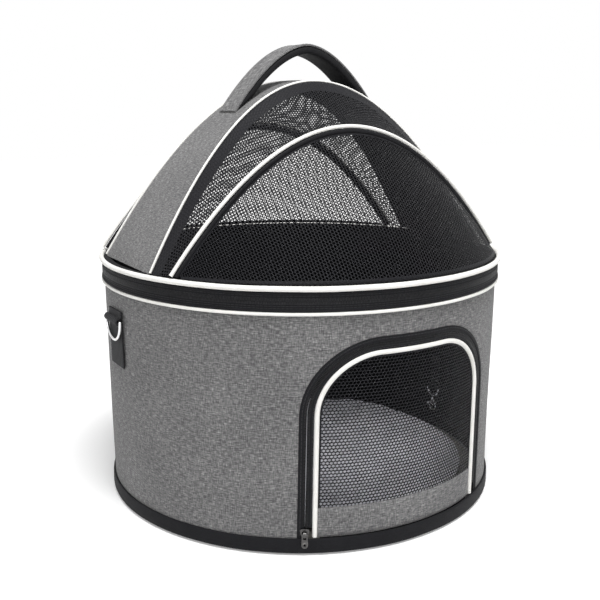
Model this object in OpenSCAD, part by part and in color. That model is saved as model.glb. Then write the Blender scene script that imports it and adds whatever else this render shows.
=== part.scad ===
// Round soft-sided pet carrier pod, the cabin that clips onto a pet stroller.
// A padded tub with a roll-down mesh door carries a zipped dome of mesh panels
// stretched over two wire hoops and a padded centre band with a carry handle.
// Origin: centre of the base on the surface it stands on.  +Z up, door towards -Y.

/* [Tub] */
// Height of the tub, from the surface to the centre of its rim piping
tub_h = 239; // [200:1:280]
// Outer radius of the padded wall at its foot
tub_base_r = 217; // [190:1:240]
// How much wider the padded wall is at its top
wall_flare = 7; // [0:0.5:12]
// Thickness of the padded wall
wall_t = 5; // [3:0.5:8]
// Thickness of the lining cloth
lining_t = 1; // [0.6:0.2:2]
// Thickness of the base panel
base_t = 4; // [3:0.5:8]
// Height of the binding round the foot of the wall
binding_h = 13; // [12:0.5:18]
// Thickness of the binding tape
binding_t = 1.6; // [1:0.2:2.4]
// Thickness of the stiff floor board
board_t = 4; // [2:0.5:8]
// Thickness of the cushion
cushion_t = 15; // [10:1:40]
// Gap round the cushion, to the lining
cushion_gap = 8; // [2:1:20]
// Thickness of the steel wire hoops in the hems
hem_wire_d = 4; // [2:0.5:5]

/* [Door] */
// Width of the door between the centres of its side piping
door_w = 194; // [140:2:220]
// Height of the door from the base binding to the top piping
door_h = 182; // [140:2:190]
// Radius of the door's upper corners
door_corner_r = 60; // [30:1:70]
// Height of the padded sill along the foot of the door
sill_h = 30; // [15:1:50]
// Thickness of the padded sill
sill_t = 4; // [2:0.5:5]
// Diameter of the piping round the door
door_piping_d = 5; // [3:0.5:6]
// Width of each strip of tape beside the door zip
door_tape_w = 3; // [2:0.5:6]

/* [Zips] */
// Gap between the two rows of a closed zip's coil
zip_gap = 1.2; // [1:0.1:1.8]
// Width of one row of the coil
coil_w = 2; // [1.5:0.1:2.6]
// Thickness of the coil
coil_t = 3.2; // [2.6:0.1:4]
// Thickness of the zip tape
tape_t = 1.6; // [1:0.1:2]
// Gap between the two sliders of a zip when it is closed and they are parked
parked_gap = 7; // [6.5:0.5:14]
// Length of a slider
slider_l = 10; // [8:0.5:13]
// Width of a slider across the coil
slider_w = 9; // [7.5:0.5:10]
// Thickness of a slider's plates
slider_plate_t = 1.2; // [0.8:0.1:1.6]
// Length of a slider's pull
pull_l = 15; // [13:1:19]
// Width of a slider's pull
pull_w = 6.5; // [5.5:0.5:8]
// Half of the angle that the base zip spans at the back
base_zip_angle = 24; // [16:1:40]

/* [Rim] */
// How far the thick piping round the dome stands out past the wall's top edge
rim_proud = 6; // [2:0.5:12]
// Height of the zipped band between the two rim pipings
rim_band_h = 24; // [22:0.5:34]
// Diameter of the thick piping on the dome's rim
dome_piping_d = 6; // [4:0.5:7]
// Diameter of the thin piping on the tub's rim
tub_piping_d = 3.5; // [2.5:0.5:5]
// Height of the hems that hold the rim wires
hem_h = 6; // [5.5:0.5:7]

/* [Dome] */
// Height of the dome above its rim
dome_rise = 194; // [150:1:230]
// Height of the mesh hoops above the rim
hoop_rise = 137; // [100:1:160]
// Distance of each hoop from the middle
hoop_y = 102; // [90:1:130]
// Width of the centre band at its top
band_top_w = 66; // [54:1:90]
// Width of the centre band at its feet
band_foot_w = 134; // [100:1:150]
// Thickness of the centre band
band_t = 3; // [2:0.5:5]
// Diameter of the piping along the centre band
band_piping_d = 4; // [3:0.5:5]
// Diameter of the piping along each hoop
hoop_piping_d = 5; // [4:0.5:6]
// Diameter of the steel wire in each hoop
hoop_wire_d = 3.4; // [2:0.2:4]
// Thickness of the sleeve cloth round the hoop wire
sleeve_t = 1.2; // [0.8:0.1:2]
// Thickness of the mesh cloth
mesh_t = 0.8; // [0.6:0.1:1.4]
// How far the lower mesh panels bulge outwards
mesh_bulge = 5; // [0:0.5:10]

/* [Handle] */
// Width of the carry handle
handle_w = 40; // [25:1:46]
// Thickness of the handle's padding at its middle
handle_pad_t = 9; // [6:0.5:14]
// Thickness of the cloth strip on top of the handle
handle_cover_t = 2.4; // [1.5:0.1:3.5]
// Distance between the handle's two ends
handle_span = 184; // [150:2:220]
// Height of the handle's top above the dome
handle_rise = 40; // [32:1:60]

/* [Fittings] */
// Inside diameter of the grommets
grommet_bore_d = 7; // [5:0.5:10]
// Outside diameter of the grommet flanges
grommet_d = 15; // [12.5:0.5:18]
// Height of the grommets
grommet_z = 56; // [50:1:90]
// Distance between the two grommets
grommet_spacing = 134; // [60:2:160]
// Width of the webbing that holds each side ring
webbing_w = 38; // [25:1:40]
// Length of the webbing patch
webbing_l = 60; // [50:1:80]
// Distance of the side ring's straight bar below the centre of the tub's rim piping
ring_drop = 31; // [27:1:60]
// Diameter of the side ring's wire
ring_wire_d = 3.2; // [2.4:0.2:4]
// Direction of the safety tether, from the right-hand side ring
tether_angle = 2; // [-30:1:30]
// Height of the tether's fold, where its clip hangs
clip_z = 60; // [56:1:120]
// Length of the tether strap above its fold
tether_l = 40; // [20:1:80]
// Width of the tether strap
tether_w = 16; // [10:1:25]

/* [Hidden] */
$fn = 96;

// Clearances: sewn layers, moving faces, and a pin in its eye
seam = 0.2;
fit = 0.3;
pin_fit = 0.2;
slop = 20;

// Levels
binding_z0 = 3;
wall_z0 = base_t + fit;
door_z0 = binding_z0 + binding_h + fit;
wall_z1 = tub_h - tub_piping_d / 2;
hem_z0 = wall_z1 + fit;
parting_z = tub_h + rim_band_h / 2;
dome_piping_z = tub_h + rim_band_h;
dome_hem_z1 = 2 * parting_z - hem_z0;
dome_z0 = dome_hem_z1 + fit;
ring_z = tub_h - ring_drop;

// Radii of the wall and of what is sewn to the rim
rim_r = tub_base_r + wall_flare + rim_proud;
wall_slope = wall_flare / (wall_z1 - wall_z0);
function wall_r(z) = tub_base_r + wall_slope * (z - wall_z0);
lining_r = wall_t + seam;
lining_in_r = lining_r + lining_t;
hem_wire_r = hem_wire_d / 2;
rim_piping_r = rim_r - dome_piping_d / 2;
hem_r1 = rim_piping_r - max(dome_piping_d, tub_piping_d) / 2 - fit;
hem_r0 = hem_r1 - 2 * (hem_wire_r + fit + 1.2);
track_r = hem_r1 + fit + tape_t / 2 + 0.4;

// Door: distances outwards from the centre line of the door's piping
door_piping_r = door_piping_d / 2;
edge_tape_o = door_piping_r + seam;
edge_coil_o = edge_tape_o + door_tape_w + seam;
door_gap_o = edge_coil_o + coil_w;
frame_coil_o = door_gap_o + zip_gap;
frame_tape_o = frame_coil_o + coil_w + seam;
opening_o = frame_tape_o + door_tape_w + seam;
door_proud = 0.6;
door_track_inset = wall_t / 2 - door_proud;
door_mesh_inset = door_track_inset;
park_z = door_z0 + 0.5;
door_zip_z0 = park_z + slider_l + fit;
door_hinge_y = -wall_r(door_z0) - 0.6;
slider_x = door_w / 2 + door_gap_o + zip_gap / 2;
function track_angle(z) = 180 + acos(slider_x / (wall_r(z) - door_track_inset));

// Dome: u runs from -1 to 1 along each arch, from the left foot to the right one
arch_n = 40;
foot_r = hem_r1 - 1;
band_foot_x = sqrt(foot_r * foot_r - band_foot_w * band_foot_w / 4);
hoop_foot_x = sqrt(foot_r * foot_r - hoop_y * hoop_y);
function arch_u(i, n) = sin(-90 + 180 * i / n);
function band_half(u) = (band_top_w + (band_foot_w - band_top_w) * pow(abs(u), 1.6)) / 2;
band_spread = sqrt(1 + pow(band_foot_x / (2 * dome_rise), 2));
function band_x(u, depth = 0) = (band_foot_x - band_spread * depth) * u;
function band_z(u, depth = 0) = dome_z0 + (dome_rise - depth) * (1 - u * u);
function band_z_at(x) = band_z(x / band_foot_x);
sleeve_r = hoop_wire_d / 2 + pin_fit + sleeve_t;
hoop_spread = sqrt(1 + pow(hoop_foot_x / (2 * hoop_rise), 2)) + 0.06;
function hoop_x(u, out = 0) = (hoop_foot_x + hoop_spread * out) * u;
function hoop_z(u, out = 0) = dome_z0 + 0.6 * sleeve_r + (hoop_rise + out) * (1 - u * u);

// Vectors
function unit(v) = v / norm(v);
function mid(a, b, t) = a * (1 - t) + b * t;
function along(a, b, d) = a + unit(b - a) * d;

// A tube round a path: one ring of points at each point of the path
function tangent(path, i) =
    unit(path[min(i + 1, len(path) - 1)] - path[max(i - 1, 0)]);
function ring(path, i, ref, r, sides) =
    let (t = tangent(path, i), b = unit(cross(t, ref[i])), n = cross(b, t))
    [for (k = [0 : sides - 1])
        path[i] + r * (cos(360 * k / sides) * n - sin(360 * k / sides) * b)];

// Joins rings of points into one closed solid.  A flat ring is an upper row followed by
// a lower row that runs back, and its end is closed row to row.
module loft(rings, flat = false) {
    n = len(rings[0]);
    m = len(rings);
    sides = [for (i = [0 : m - 2]) for (k = [0 : n - 1])
        let (a = i * n + k, b = i * n + (k + 1) % n)
        each [[a, b, b + n], [a, b + n, a + n]]];
    function cap(base, flip) = flat
        ? [for (k = [0 : n / 2 - 2])
            let (a = base + k, b = base + k + 1, c = base + n - 2 - k, d = base + n - 1 - k)
            each (flip ? [[a, c, b], [a, d, c]] : [[a, b, c], [a, c, d]])]
        : [for (k = [1 : n - 2]) flip ? [base, base + k + 1, base + k]
            : [base, base + k, base + k + 1]];
    polyhedron([for (r = rings) each r],
        concat(sides, cap(0, true), cap((m - 1) * n, false)));
}

module tube(path, ref, d, sides = 8) {
    loft([for (i = [0 : len(path) - 1]) ring(path, i, ref, d / 2, sides)]);
}

// A conical layer of the wall between two depths below its outer face
module wall_layer(out, into, z0, z1) {
    difference() {
        translate([0, 0, z0])
            cylinder(h = z1 - z0, r1 = wall_r(z0) - out, r2 = wall_r(z1) - out);
        translate([0, 0, z0 - 1])
            cylinder(h = z1 - z0 + 2, r1 = wall_r(z0 - 1) - into, r2 = wall_r(z1 + 1) - into);
    }
}

// Places a child on the wall: its +X outwards, +Y round the wall, +Z up the wall
module on_wall(angle, z, inset = 0) {
    rotate([0, 0, angle]) translate([wall_r(z) - inset, 0, z])
        rotate([0, atan(wall_slope), 0]) children();
}

// A flat ring about Z
module band_ring(r0, r1, z0, z1) {
    rotate_extrude() translate([r0, z0]) square([r1 - r0, z1 - z0]);
}

// The door's outline, a round-cornered arch, o outside its piping
module arch(o, below = 0) {
    half = door_w / 2 + o;
    top = door_h + o;
    r = door_corner_r + o;
    translate([-half, door_z0 - below]) square([2 * half, top - r + below]);
    translate([r - half, door_z0 - below]) square([2 * (half - r), top + below]);
    for (side = [-1, 1]) translate([side * (half - r), door_z0 + top - r]) circle(r = r);
}

module through_front(o, below = 0) {
    rotate([90, 0, 0]) linear_extrude(rim_r + slop) arch(o, below);
}

// A strip of cloth that follows the door's outline between two distances outside it
module door_strip(o0, o1, out, into, z0) {
    intersection() {
        wall_layer(out, into, z0, door_z0 + door_h + opening_o);
        rotate([90, 0, 0]) linear_extrude(rim_r + slop)
            difference() { arch(o1); arch(o0, slop); }
    }
}

/* ---- tub ---- */

module base_cover() {
    r = tub_base_r - 0.8;
    edge = 1.6;
    color("dimgray") rotate_extrude()
        polygon([[0, 0], [r - edge, 0], [r, edge], [r, base_t], [0, base_t]]);
}

module binding_profile(r1) {
    r0 = wall_r(binding_z0 + binding_h) + seam;
    translate([r0, binding_z0]) square([r1 - r0, binding_h]);
}

module base_binding() {
    r1 = wall_r(binding_z0 + binding_h) + seam + binding_t;
    color("black") rotate([0, 0, 90 + base_zip_angle + 0.1])
        rotate_extrude(angle = 360 - 2 * base_zip_angle - 0.2) binding_profile(r1);
}

module base_wire() {
    r = tub_base_r - lining_in_r - fit - hem_wire_r;
    color("silver") rotate_extrude()
        translate([r, base_t + fit + hem_wire_r]) circle(r = hem_wire_r, $fn = 32);
}

board_r = tub_base_r - lining_in_r - 2 * fit - hem_wire_d - fit;

module floor_board() {
    color("tan") translate([0, 0, base_t + fit]) cylinder(h = board_t, r = board_r);
}

cushion_z0 = base_t + board_t + 2 * fit;
cushion_r = tub_base_r - lining_in_r - cushion_gap;

module cushion_pad() {
    edge = cushion_t / 2;
    color("thistle") translate([0, 0, cushion_z0]) rotate_extrude() union() {
        square([cushion_r - edge, cushion_t]);
        intersection() {
            translate([cushion_r - edge, edge]) circle(r = edge);
            translate([1, 0]) square([cushion_r, cushion_t]);
        }
    }
}

module grommet_holes(r) {
    for (side = [-1, 1]) on_wall(90 + side * grommet_angle, grommet_z, wall_t / 2)
        rotate([0, 90, 0]) cylinder(h = 3 * wall_t, r = r, center = true);
}

barrel_r = grommet_bore_d / 2 + 1;
grommet_angle = asin(grommet_spacing / 2 / wall_r(grommet_z));

module side_wall() {
    color("gray") difference() {
        wall_layer(0, wall_t, wall_z0, wall_z1);
        through_front(opening_o);
        grommet_holes(barrel_r + fit);
    }
}

module wall_lining() {
    color("black") difference() {
        wall_layer(lining_r, lining_in_r, wall_z0, wall_z1);
        through_front(opening_o);
        grommet_holes(barrel_r + fit);
    }
}

// Tape and coil that stay on the tub when the door opens
module door_frame_tape() {
    color("black") door_strip(frame_tape_o, opening_o - seam,
        door_track_inset - tape_t / 2, door_track_inset + tape_t / 2, door_z0);
}

module door_frame_coil() {
    color("black") door_strip(frame_coil_o, frame_coil_o + coil_w,
        door_track_inset - coil_t / 2, door_track_inset + coil_t / 2, door_z0);
}

// A hem: cloth folded round a wire hoop
module hem(z0) {
    rotate_extrude() difference() {
        translate([hem_r0, z0]) square([hem_r1 - hem_r0, hem_h]);
        translate([(hem_r0 + hem_r1) / 2, z0 + hem_h / 2]) circle(r = hem_wire_r + seam, $fn = 32);
    }
}

module hem_wire(z0) {
    rotate_extrude() translate([(hem_r0 + hem_r1) / 2, z0 + hem_h / 2])
        circle(r = hem_wire_r, $fn = 32);
}

module tub_rim_hem() { color("black") hem(hem_z0); }
module tub_rim_wire() { color("silver") hem_wire(hem_z0); }

module tub_rim_piping() {
    color("ivory") rotate_extrude()
        translate([hem_r1 + seam + tub_piping_d / 2, tub_h]) circle(d = tub_piping_d, $fn = 32);
}

module tub_zip_tape() {
    z1 = parting_z - zip_gap / 2 - coil_w - seam;
    color("black")
        band_ring(track_r - tape_t / 2, track_r + tape_t / 2, tub_h + tub_piping_d / 2 + seam, z1);
}

module tub_zip_coil() {
    z1 = parting_z - zip_gap / 2;
    color("black") band_ring(track_r - coil_t / 2, track_r + coil_t / 2, z1 - coil_w, z1);
}

/* ---- base zip at the back ---- */

base_track_z = binding_z0 + binding_h / 2;
base_track_r = wall_r(binding_z0 + binding_h) + seam + slider_plate_t + 2 * fit + coil_t / 2;

module base_zip_arc(r0, r1, z0, z1) {
    rotate([0, 0, 90 - base_zip_angle]) rotate_extrude(angle = 2 * base_zip_angle)
        translate([r0, z0]) square([r1 - r0, z1 - z0]);
}

module base_zip_tape() {
    r0 = wall_r(binding_z0 + binding_h) + seam;
    r1 = base_track_r + tape_t / 2;
    reach = zip_gap / 2 + coil_w + seam;
    color("black") base_zip_arc(r0, r1, binding_z0, base_track_z - reach);
    color("black") base_zip_arc(r0, r1, base_track_z + reach, binding_z0 + binding_h);
}

module base_zip_coil() {
    r0 = base_track_r - coil_t / 2;
    r1 = base_track_r + coil_t / 2;
    for (side = [-1, 1]) {
        near = base_track_z + side * zip_gap / 2;
        far = near + side * coil_w;
        color("black") base_zip_arc(r0, r1, min(near, far), max(near, far));
    }
}

/* ---- grommets, webbing, side rings ---- */

// Half of the flange's section: highest at the bore, rolled down to a thin edge
module rolled_flange(t, edge_t) {
    w = (grommet_d - grommet_bore_d) / 2;
    fall = t - edge_t;
    crown_r = (w * w + fall * fall) / (2 * fall);
    translate([grommet_bore_d / 2, 0]) intersection() {
        square([w, t]);
        translate([0, t - crown_r]) circle(r = crown_r);
    }
}

module grommet() {
    deep = wall_t + seam + lining_t;
    flange_t = 1.2;
    flange_edge_t = 0.3;
    lip = fit + 0.2;
    rotate([0, 90, 0]) rotate_extrude() union() {
        translate([grommet_bore_d / 2, -deep - lip]) square([1, deep + 2 * lip]);
        translate([0, lip]) rolled_flange(flange_t, flange_edge_t);
        translate([0, -deep - lip]) mirror([0, 1]) rolled_flange(flange_t, flange_edge_t);
    }
}

module grommets() {
    color("silver") for (side = [-1, 1]) on_wall(90 + side * grommet_angle, grommet_z) grommet();
}

webbing_t = 2.2;
ring_r = (webbing_w + 2) / 2 + ring_wire_d / 2;
eye_r = ring_wire_d / 2 + fit;
loop_r = eye_r + webbing_t;
bar_out = seam + webbing_t + eye_r + 0.2;

// Webbing sewn to the wall, folded over the bar of the side ring
module webbing(side) {
    angle = side < 0 ? 180 : 0;
    top = ring_z + loop_r + 6;
    color("black") difference() {
        union() {
            intersection() {
                wall_layer(-seam - webbing_t, -seam, top - webbing_l, top);
                translate([side * rim_r / 2, 0, top - webbing_l / 2])
                    cube([rim_r + slop, webbing_w, webbing_l], center = true);
            }
            on_wall(angle, ring_z, -bar_out) rotate([90, 0, 0])
                cylinder(h = webbing_w, r = loop_r, center = true);
        }
        on_wall(angle, ring_z, -bar_out) rotate([90, 0, 0])
            cylinder(h = webbing_w + slop, r = eye_r, center = true);
        wall_layer(-seam, loop_r, top - webbing_l - slop, top + slop);
    }
}

module webbing_left() { webbing(-1); }
module webbing_right() { webbing(1); }

// A D-shaped ring that hangs from its straight bar
module d_ring(angle) {
    color("silver") on_wall(angle, ring_z, -bar_out) {
        rotate([90, 0, 0]) cylinder(h = 2 * ring_r, d = ring_wire_d, center = true, $fn = 32);
        for (side = [-1, 1]) translate([0, side * ring_r, 0]) sphere(d = ring_wire_d, $fn = 32);
        rotate([0, 90, 0]) rotate([0, 0, -90]) rotate_extrude(angle = 180)
            translate([ring_r, 0]) circle(d = ring_wire_d, $fn = 32);
    }
}

module d_ring_left() { d_ring(180); }
module d_ring_right() { d_ring(0); }

/* ---- tether ---- */

tether_t = 1.6;
clip_wire_d = 3;
hook_r = 6;
fold_out = clip_wire_d / 2 + fit + tether_t;
clip_half = norm([tether_w / 2, fold_out]) + clip_wire_d / 2 + fit;
shank_l = 7;
clip_drop = clip_half + shank_l + 2 * hook_r + clip_wire_d / 2;
clip_out = lining_in_r + seam + tether_t + clip_wire_d / 2 + fit;

// The hook runs from hook_start through hook_span, counted from its foot towards +Y.
// The gate's pin and nose lie a few degrees in from the hook's two ends.
hook_z = -clip_half - shank_l - hook_r;
hook_start = 100;
hook_span = 300;
hook_tip = hook_start + hook_span - 360;
function hook_place(r, a) = [0, r * sin(a), hook_z - r * cos(a)];
gate_wire_d = 1;
gate_nose_d = 1.3;
gate_eye_t = 1.3;
gate_pin_r = 0.7;
gate_x = clip_wire_d / 2 + fit + gate_eye_t / 2;
gate_pin = hook_place(hook_r, hook_start + 8);
gate_nose = hook_place(hook_r - clip_wire_d / 2 - fit - gate_nose_d / 2, hook_tip - 7);

// Webbing strap sewn to the lining, folded round the clip's eye
module tether_strap() {
    z1 = clip_z + tether_l;
    color("black") difference() {
        union() {
            intersection() {
                wall_layer(lining_in_r + seam, lining_in_r + seam + tether_t, clip_z, z1);
                rotate([0, 0, tether_angle]) translate([tub_base_r / 2, 0, clip_z + tether_l / 2])
                    cube([tub_base_r + slop, tether_w, tether_l], center = true);
            }
            on_wall(tether_angle, clip_z, clip_out) rotate([90, 0, 0])
                cylinder(h = tether_w, r = fold_out, center = true);
        }
        on_wall(tether_angle, clip_z, clip_out) rotate([90, 0, 0])
            cylinder(h = tether_w + slop, r = fold_out - tether_t, center = true);
        wall_layer(-slop, lining_in_r + seam, clip_z - slop, z1 + slop);
    }
}

// Wire clip that hangs from the strap: a half ring through the fold, a swivel shank and
// an open hook
module tether_clip() {
    color("silver") on_wall(tether_angle, clip_z, clip_out) {
        rotate([90, 0, 0]) cylinder(h = 2 * clip_half, d = clip_wire_d, center = true, $fn = 32);
        for (side = [-1, 1]) translate([0, side * clip_half, 0])
            sphere(d = clip_wire_d, $fn = 32);
        rotate([0, 90, 0]) rotate([0, 0, -90]) rotate_extrude(angle = 180)
            translate([clip_half, 0]) circle(d = clip_wire_d, $fn = 32);
        translate([0, 0, -clip_half - shank_l]) cylinder(h = shank_l, d = clip_wire_d + 1.4, $fn = 32);
        translate([0, 0, hook_z]) rotate([0, 90, 0])
            rotate([0, 0, hook_start]) rotate_extrude(angle = hook_span)
                translate([hook_r, 0]) circle(d = clip_wire_d, $fn = 32);
        translate(gate_pin) rotate([0, 90, 0]) cylinder(
            h = 2 * gate_x + gate_eye_t + 2 * seam, r = gate_pin_r, center = true, $fn = 32);
    }
}

// Wire gate that closes the hook: two legs, each with an eye round the hook's cross pin,
// and a nose that rests against the inside of the hook's tip
module tether_gate() {
    lean = atan2(gate_pin[1] - gate_nose[1], gate_nose[2] - gate_pin[2]);
    color("silver") on_wall(tether_angle, clip_z, clip_out) difference() {
        union() {
            for (side = [-1, 1]) translate(gate_pin + [side * gate_x, 0, 0]) {
                rotate([lean, 0, 0])
                    cylinder(h = norm(gate_nose - gate_pin), d = gate_wire_d, $fn = 32);
                rotate([0, 90, 0]) cylinder(
                    h = gate_eye_t, r = gate_pin_r + pin_fit + 0.8, center = true, $fn = 32);
            }
            translate(gate_nose) rotate([0, 90, 0])
                cylinder(h = 2 * gate_x + gate_wire_d, d = gate_nose_d, center = true, $fn = 32);
        }
        translate(gate_pin) rotate([0, 90, 0])
            cylinder(h = slop, r = gate_pin_r + pin_fit, center = true, $fn = 32);
    }
}

/* ---- door ---- */

module door_mesh() {
    z0 = door_z0 + fit + sill_h + seam;
    color("black") intersection() {
        wall_layer(door_mesh_inset - mesh_t / 2, door_mesh_inset + mesh_t / 2,
            z0, door_z0 + door_h);
        through_front(-door_piping_r - seam);
    }
}

module door_sill() {
    color("gray") intersection() {
        wall_layer(door_track_inset - sill_t / 2, door_track_inset + sill_t / 2,
            door_z0 + fit, door_z0 + fit + sill_h);
        through_front(-door_piping_r - seam);
    }
}

// The arch as a path: up the left side, over the corners and down the right side
corner_n = 10;
side_n = 6;
function arch_corner(side, a) = [
    side * (door_w / 2 - door_corner_r + door_corner_r * cos(a)),
    door_z0 + door_h - door_corner_r + door_corner_r * sin(a)];
function arch_side(side) = [for (i = [0 : side_n - 1])
    [side * door_w / 2,
        door_z0 + fit + door_piping_r * 0.2 + (door_h - door_corner_r - fit) * i / side_n]];
function arch_path() = concat(arch_side(-1),
    [for (i = [0 : corner_n]) arch_corner(-1, 90 * i / corner_n)],
    [for (x = [-1, 0, 1]) [x * (door_w / 2 - door_corner_r) / 2, door_z0 + door_h]],
    [for (i = [corner_n : -1 : 0]) arch_corner(1, 90 * i / corner_n)],
    [for (i = [side_n - 1 : -1 : 0]) arch_side(1)[i]]);
function on_layer(p, inset) =
    let (r = wall_r(p[1]) - inset) [p[0], -sqrt(r * r - p[0] * p[0]), p[1]];

module door_piping() {
    path = [for (p = arch_path()) on_layer(p, door_track_inset)];
    ref = [for (p = path) [p[0], p[1], 0] / wall_r(p[2])];
    color("ivory") tube(path, ref, door_piping_d);
}

// Tape and coil that open with the door; they start above the parked slider
module door_edge_tape() {
    color("black") door_strip(edge_tape_o, edge_tape_o + door_tape_w,
        door_track_inset - tape_t / 2, door_track_inset + tape_t / 2, door_zip_z0);
}

module door_edge_coil() {
    color("black") door_strip(edge_coil_o, edge_coil_o + coil_w,
        door_track_inset - coil_t / 2, door_track_inset + coil_t / 2, door_zip_z0);
}

/* ---- dome ---- */

module dome_rim_piping() {
    color("ivory") rotate_extrude()
        translate([rim_piping_r, dome_piping_z]) circle(d = dome_piping_d, $fn = 32);
}

module dome_rim_hem() { color("black") hem(dome_hem_z1 - hem_h); }
module dome_rim_wire() { color("silver") hem_wire(dome_hem_z1 - hem_h); }

module dome_zip_tape() {
    z0 = parting_z + zip_gap / 2 + coil_w + seam;
    color("black") band_ring(track_r - tape_t / 2, track_r + tape_t / 2,
        z0, dome_piping_z - dome_piping_d / 2);
}

module dome_zip_coil() {
    z0 = parting_z + zip_gap / 2;
    color("black") band_ring(track_r - coil_t / 2, track_r + coil_t / 2, z0, z0 + coil_w);
}

// A layer of the centre band between two depths, set in from its edges
module band_layer(d0, d1, inset) {
    loft([for (i = [0 : arch_n]) let (u = arch_u(i, arch_n), w = band_half(u) - inset) [
        [band_x(u, d0), -w, band_z(u, d0)], [band_x(u, d0), w, band_z(u, d0)],
        [band_x(u, d1), w, band_z(u, d1)], [band_x(u, d1), -w, band_z(u, d1)]]], flat = true);
}

edge_inset = band_piping_d / 2 + seam;

module centre_band() { color("gray") band_layer(0, band_t, edge_inset); }
module band_lining() { color("black") band_layer(band_t + seam, band_t + seam + lining_t, edge_inset); }

// The normals of an arch that spans half_x and rises by rise
function arch_ref(half_x, rise, n) = [for (i = [0 : n])
    unit([2 * rise / half_x * arch_u(i, n), 0, 1])];

module band_piping(side) {
    lift = 0.6 * band_piping_d / 2;
    path = [for (i = [0 : arch_n]) let (u = arch_u(i, arch_n))
        [band_x(u, band_t / 2), side * band_half(u), band_z(u, band_t / 2) + lift * u * u]];
    color("ivory") tube(path, arch_ref(band_foot_x, dome_rise, arch_n), band_piping_d);
}

module band_piping_front() { band_piping(-1); }
module band_piping_back() { band_piping(1); }

// The hoop's sleeve is a tube of cloth; its wire lies inside and its piping on top
function hoop_path(side, out, reach = 1) = [for (i = [0 : arch_n])
    let (u = reach * arch_u(i, arch_n)) [hoop_x(u, out), side * hoop_y, hoop_z(u, out)]];
hoop_ref = arch_ref(hoop_foot_x, hoop_rise, arch_n);
piping_out = sleeve_r + hoop_piping_d / 2 + fit;

module hoop_sleeve(side) {
    path = hoop_path(side, 0);
    color("black") difference() {
        tube(path, hoop_ref, 2 * sleeve_r, 8);
        tube(concat([path[0] - [0.5, 0, 1]], path, [path[arch_n] + [0.5, 0, -1]]),
            concat([hoop_ref[0]], hoop_ref, [hoop_ref[arch_n]]), hoop_wire_d + 2 * pin_fit, 8);
    }
}

module hoop_sleeve_front() { hoop_sleeve(-1); }
module hoop_sleeve_back() { hoop_sleeve(1); }

module hoop_wires() {
    color("silver") for (side = [-1, 1]) tube(hoop_path(side, 0), hoop_ref, hoop_wire_d, 6);
}

// The piping stops just above the piping round the rim
module hoop_piping(side) {
    color("ivory") tube(hoop_path(side, piping_out, 0.994), hoop_ref, hoop_piping_d);
}

module hoop_piping_front() { hoop_piping(-1); }
module hoop_piping_back() { hoop_piping(1); }

// A mesh panel stretched between two curves.  Each cross-section runs from a to b and
// bulges outwards between them, and the cloth's two faces are mesh_t apart.
panel_n = 32;
panel_m = 4;
function bulged(a, b, bulge, t) =
    mid(a, b, t) + unit([0, (a + b)[1], abs((a + b)[1]) * 0.6]) * bulge * 4 * t * (1 - t);
function panel_ring(a, b, bulge) =
    let (face = unit(cross(b - a, [1, 0, 0])), n = face[2] < 0 ? -face : face)
    concat([for (j = [0 : panel_m]) bulged(a, b, bulge, j / panel_m) + n * mesh_t / 2],
        [for (j = [panel_m : -1 : 0]) bulged(a, b, bulge, j / panel_m) - n * mesh_t / 2]);

function dome_floor(z) = max(z, dome_z0 + mesh_t);

// From the hoop's sleeve down to the rim's hem
module mesh_lower(side) {
    gap = sleeve_r + seam + mesh_t / 2;
    u1 = 0.985;
    color("black", 0.6) loft([for (i = [0 : panel_n]) let (u = u1 * arch_u(i, panel_n),
        x = hoop_x(u), a = [x, side * hoop_y, hoop_z(u)],
        b = [x, side * sqrt(foot_r * foot_r - x * x), dome_z0 + mesh_t],
        low = b, high = along(a, b, gap), bulge = mesh_bulge * (1 - u * u))
        side < 0 ? panel_ring(low, high, bulge) : panel_ring(high, low, bulge)], flat = true);
}

module mesh_lower_front() { mesh_lower(-1); }
module mesh_lower_back() { mesh_lower(1); }

// From the band's piping to the hoop's sleeve
module mesh_upper(side) {
    gap_a = band_piping_d / 2 + seam + mesh_t / 2;
    gap_b = sleeve_r + seam + mesh_t / 2;
    color("black", 0.6) loft([for (i = [0 : panel_n]) let (u = arch_u(i, panel_n),
        a = [band_x(u, band_t / 2), side * band_half(u), dome_floor(band_z(u, band_t / 2))],
        b = [hoop_x(u), side * hoop_y, dome_floor(hoop_z(u))],
        high = along(a, b, gap_a), low = along(b, a, gap_b))
        side < 0 ? panel_ring(low, high, 0) : panel_ring(high, low, 0)], flat = true);
}

module mesh_upper_front() { mesh_upper(-1); }
module mesh_upper_back() { mesh_upper(1); }

/* ---- handle ---- */

handle_x = handle_span / 2;
handle_n = 28;
cover_end = band_z_at(handle_x) + fit + handle_cover_t;
function handle_z(x) =
    dome_z0 + dome_rise + handle_rise
    - (dome_z0 + dome_rise + handle_rise - cover_end) * pow(abs(x) / handle_x, 1.8);
function handle_under(x) =
    max(handle_z(x) - handle_cover_t - seam - handle_pad_t * (1 + 0.35 * abs(x) / handle_x),
        band_z_at(x) + fit + 0.2);

// The black padded grip, which runs down onto the band
module handle_pad() {
    half = handle_x - 5;
    w = handle_w / 2;
    soft = 1.5;
    color("black") loft([for (i = [0 : handle_n]) let (x = half * arch_u(i, handle_n),
        top = handle_z(x) - handle_cover_t - seam, low = min(handle_under(x), top - 0.8)) [
        [x, -w + soft, top], [x, w - soft, top], [x, w, top - 0.3], [x, w, low + 0.3],
        [x, w - soft, low], [x, soft - w, low], [x, -w, low + 0.3], [x, -w, top - 0.3]]]);
}

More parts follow.
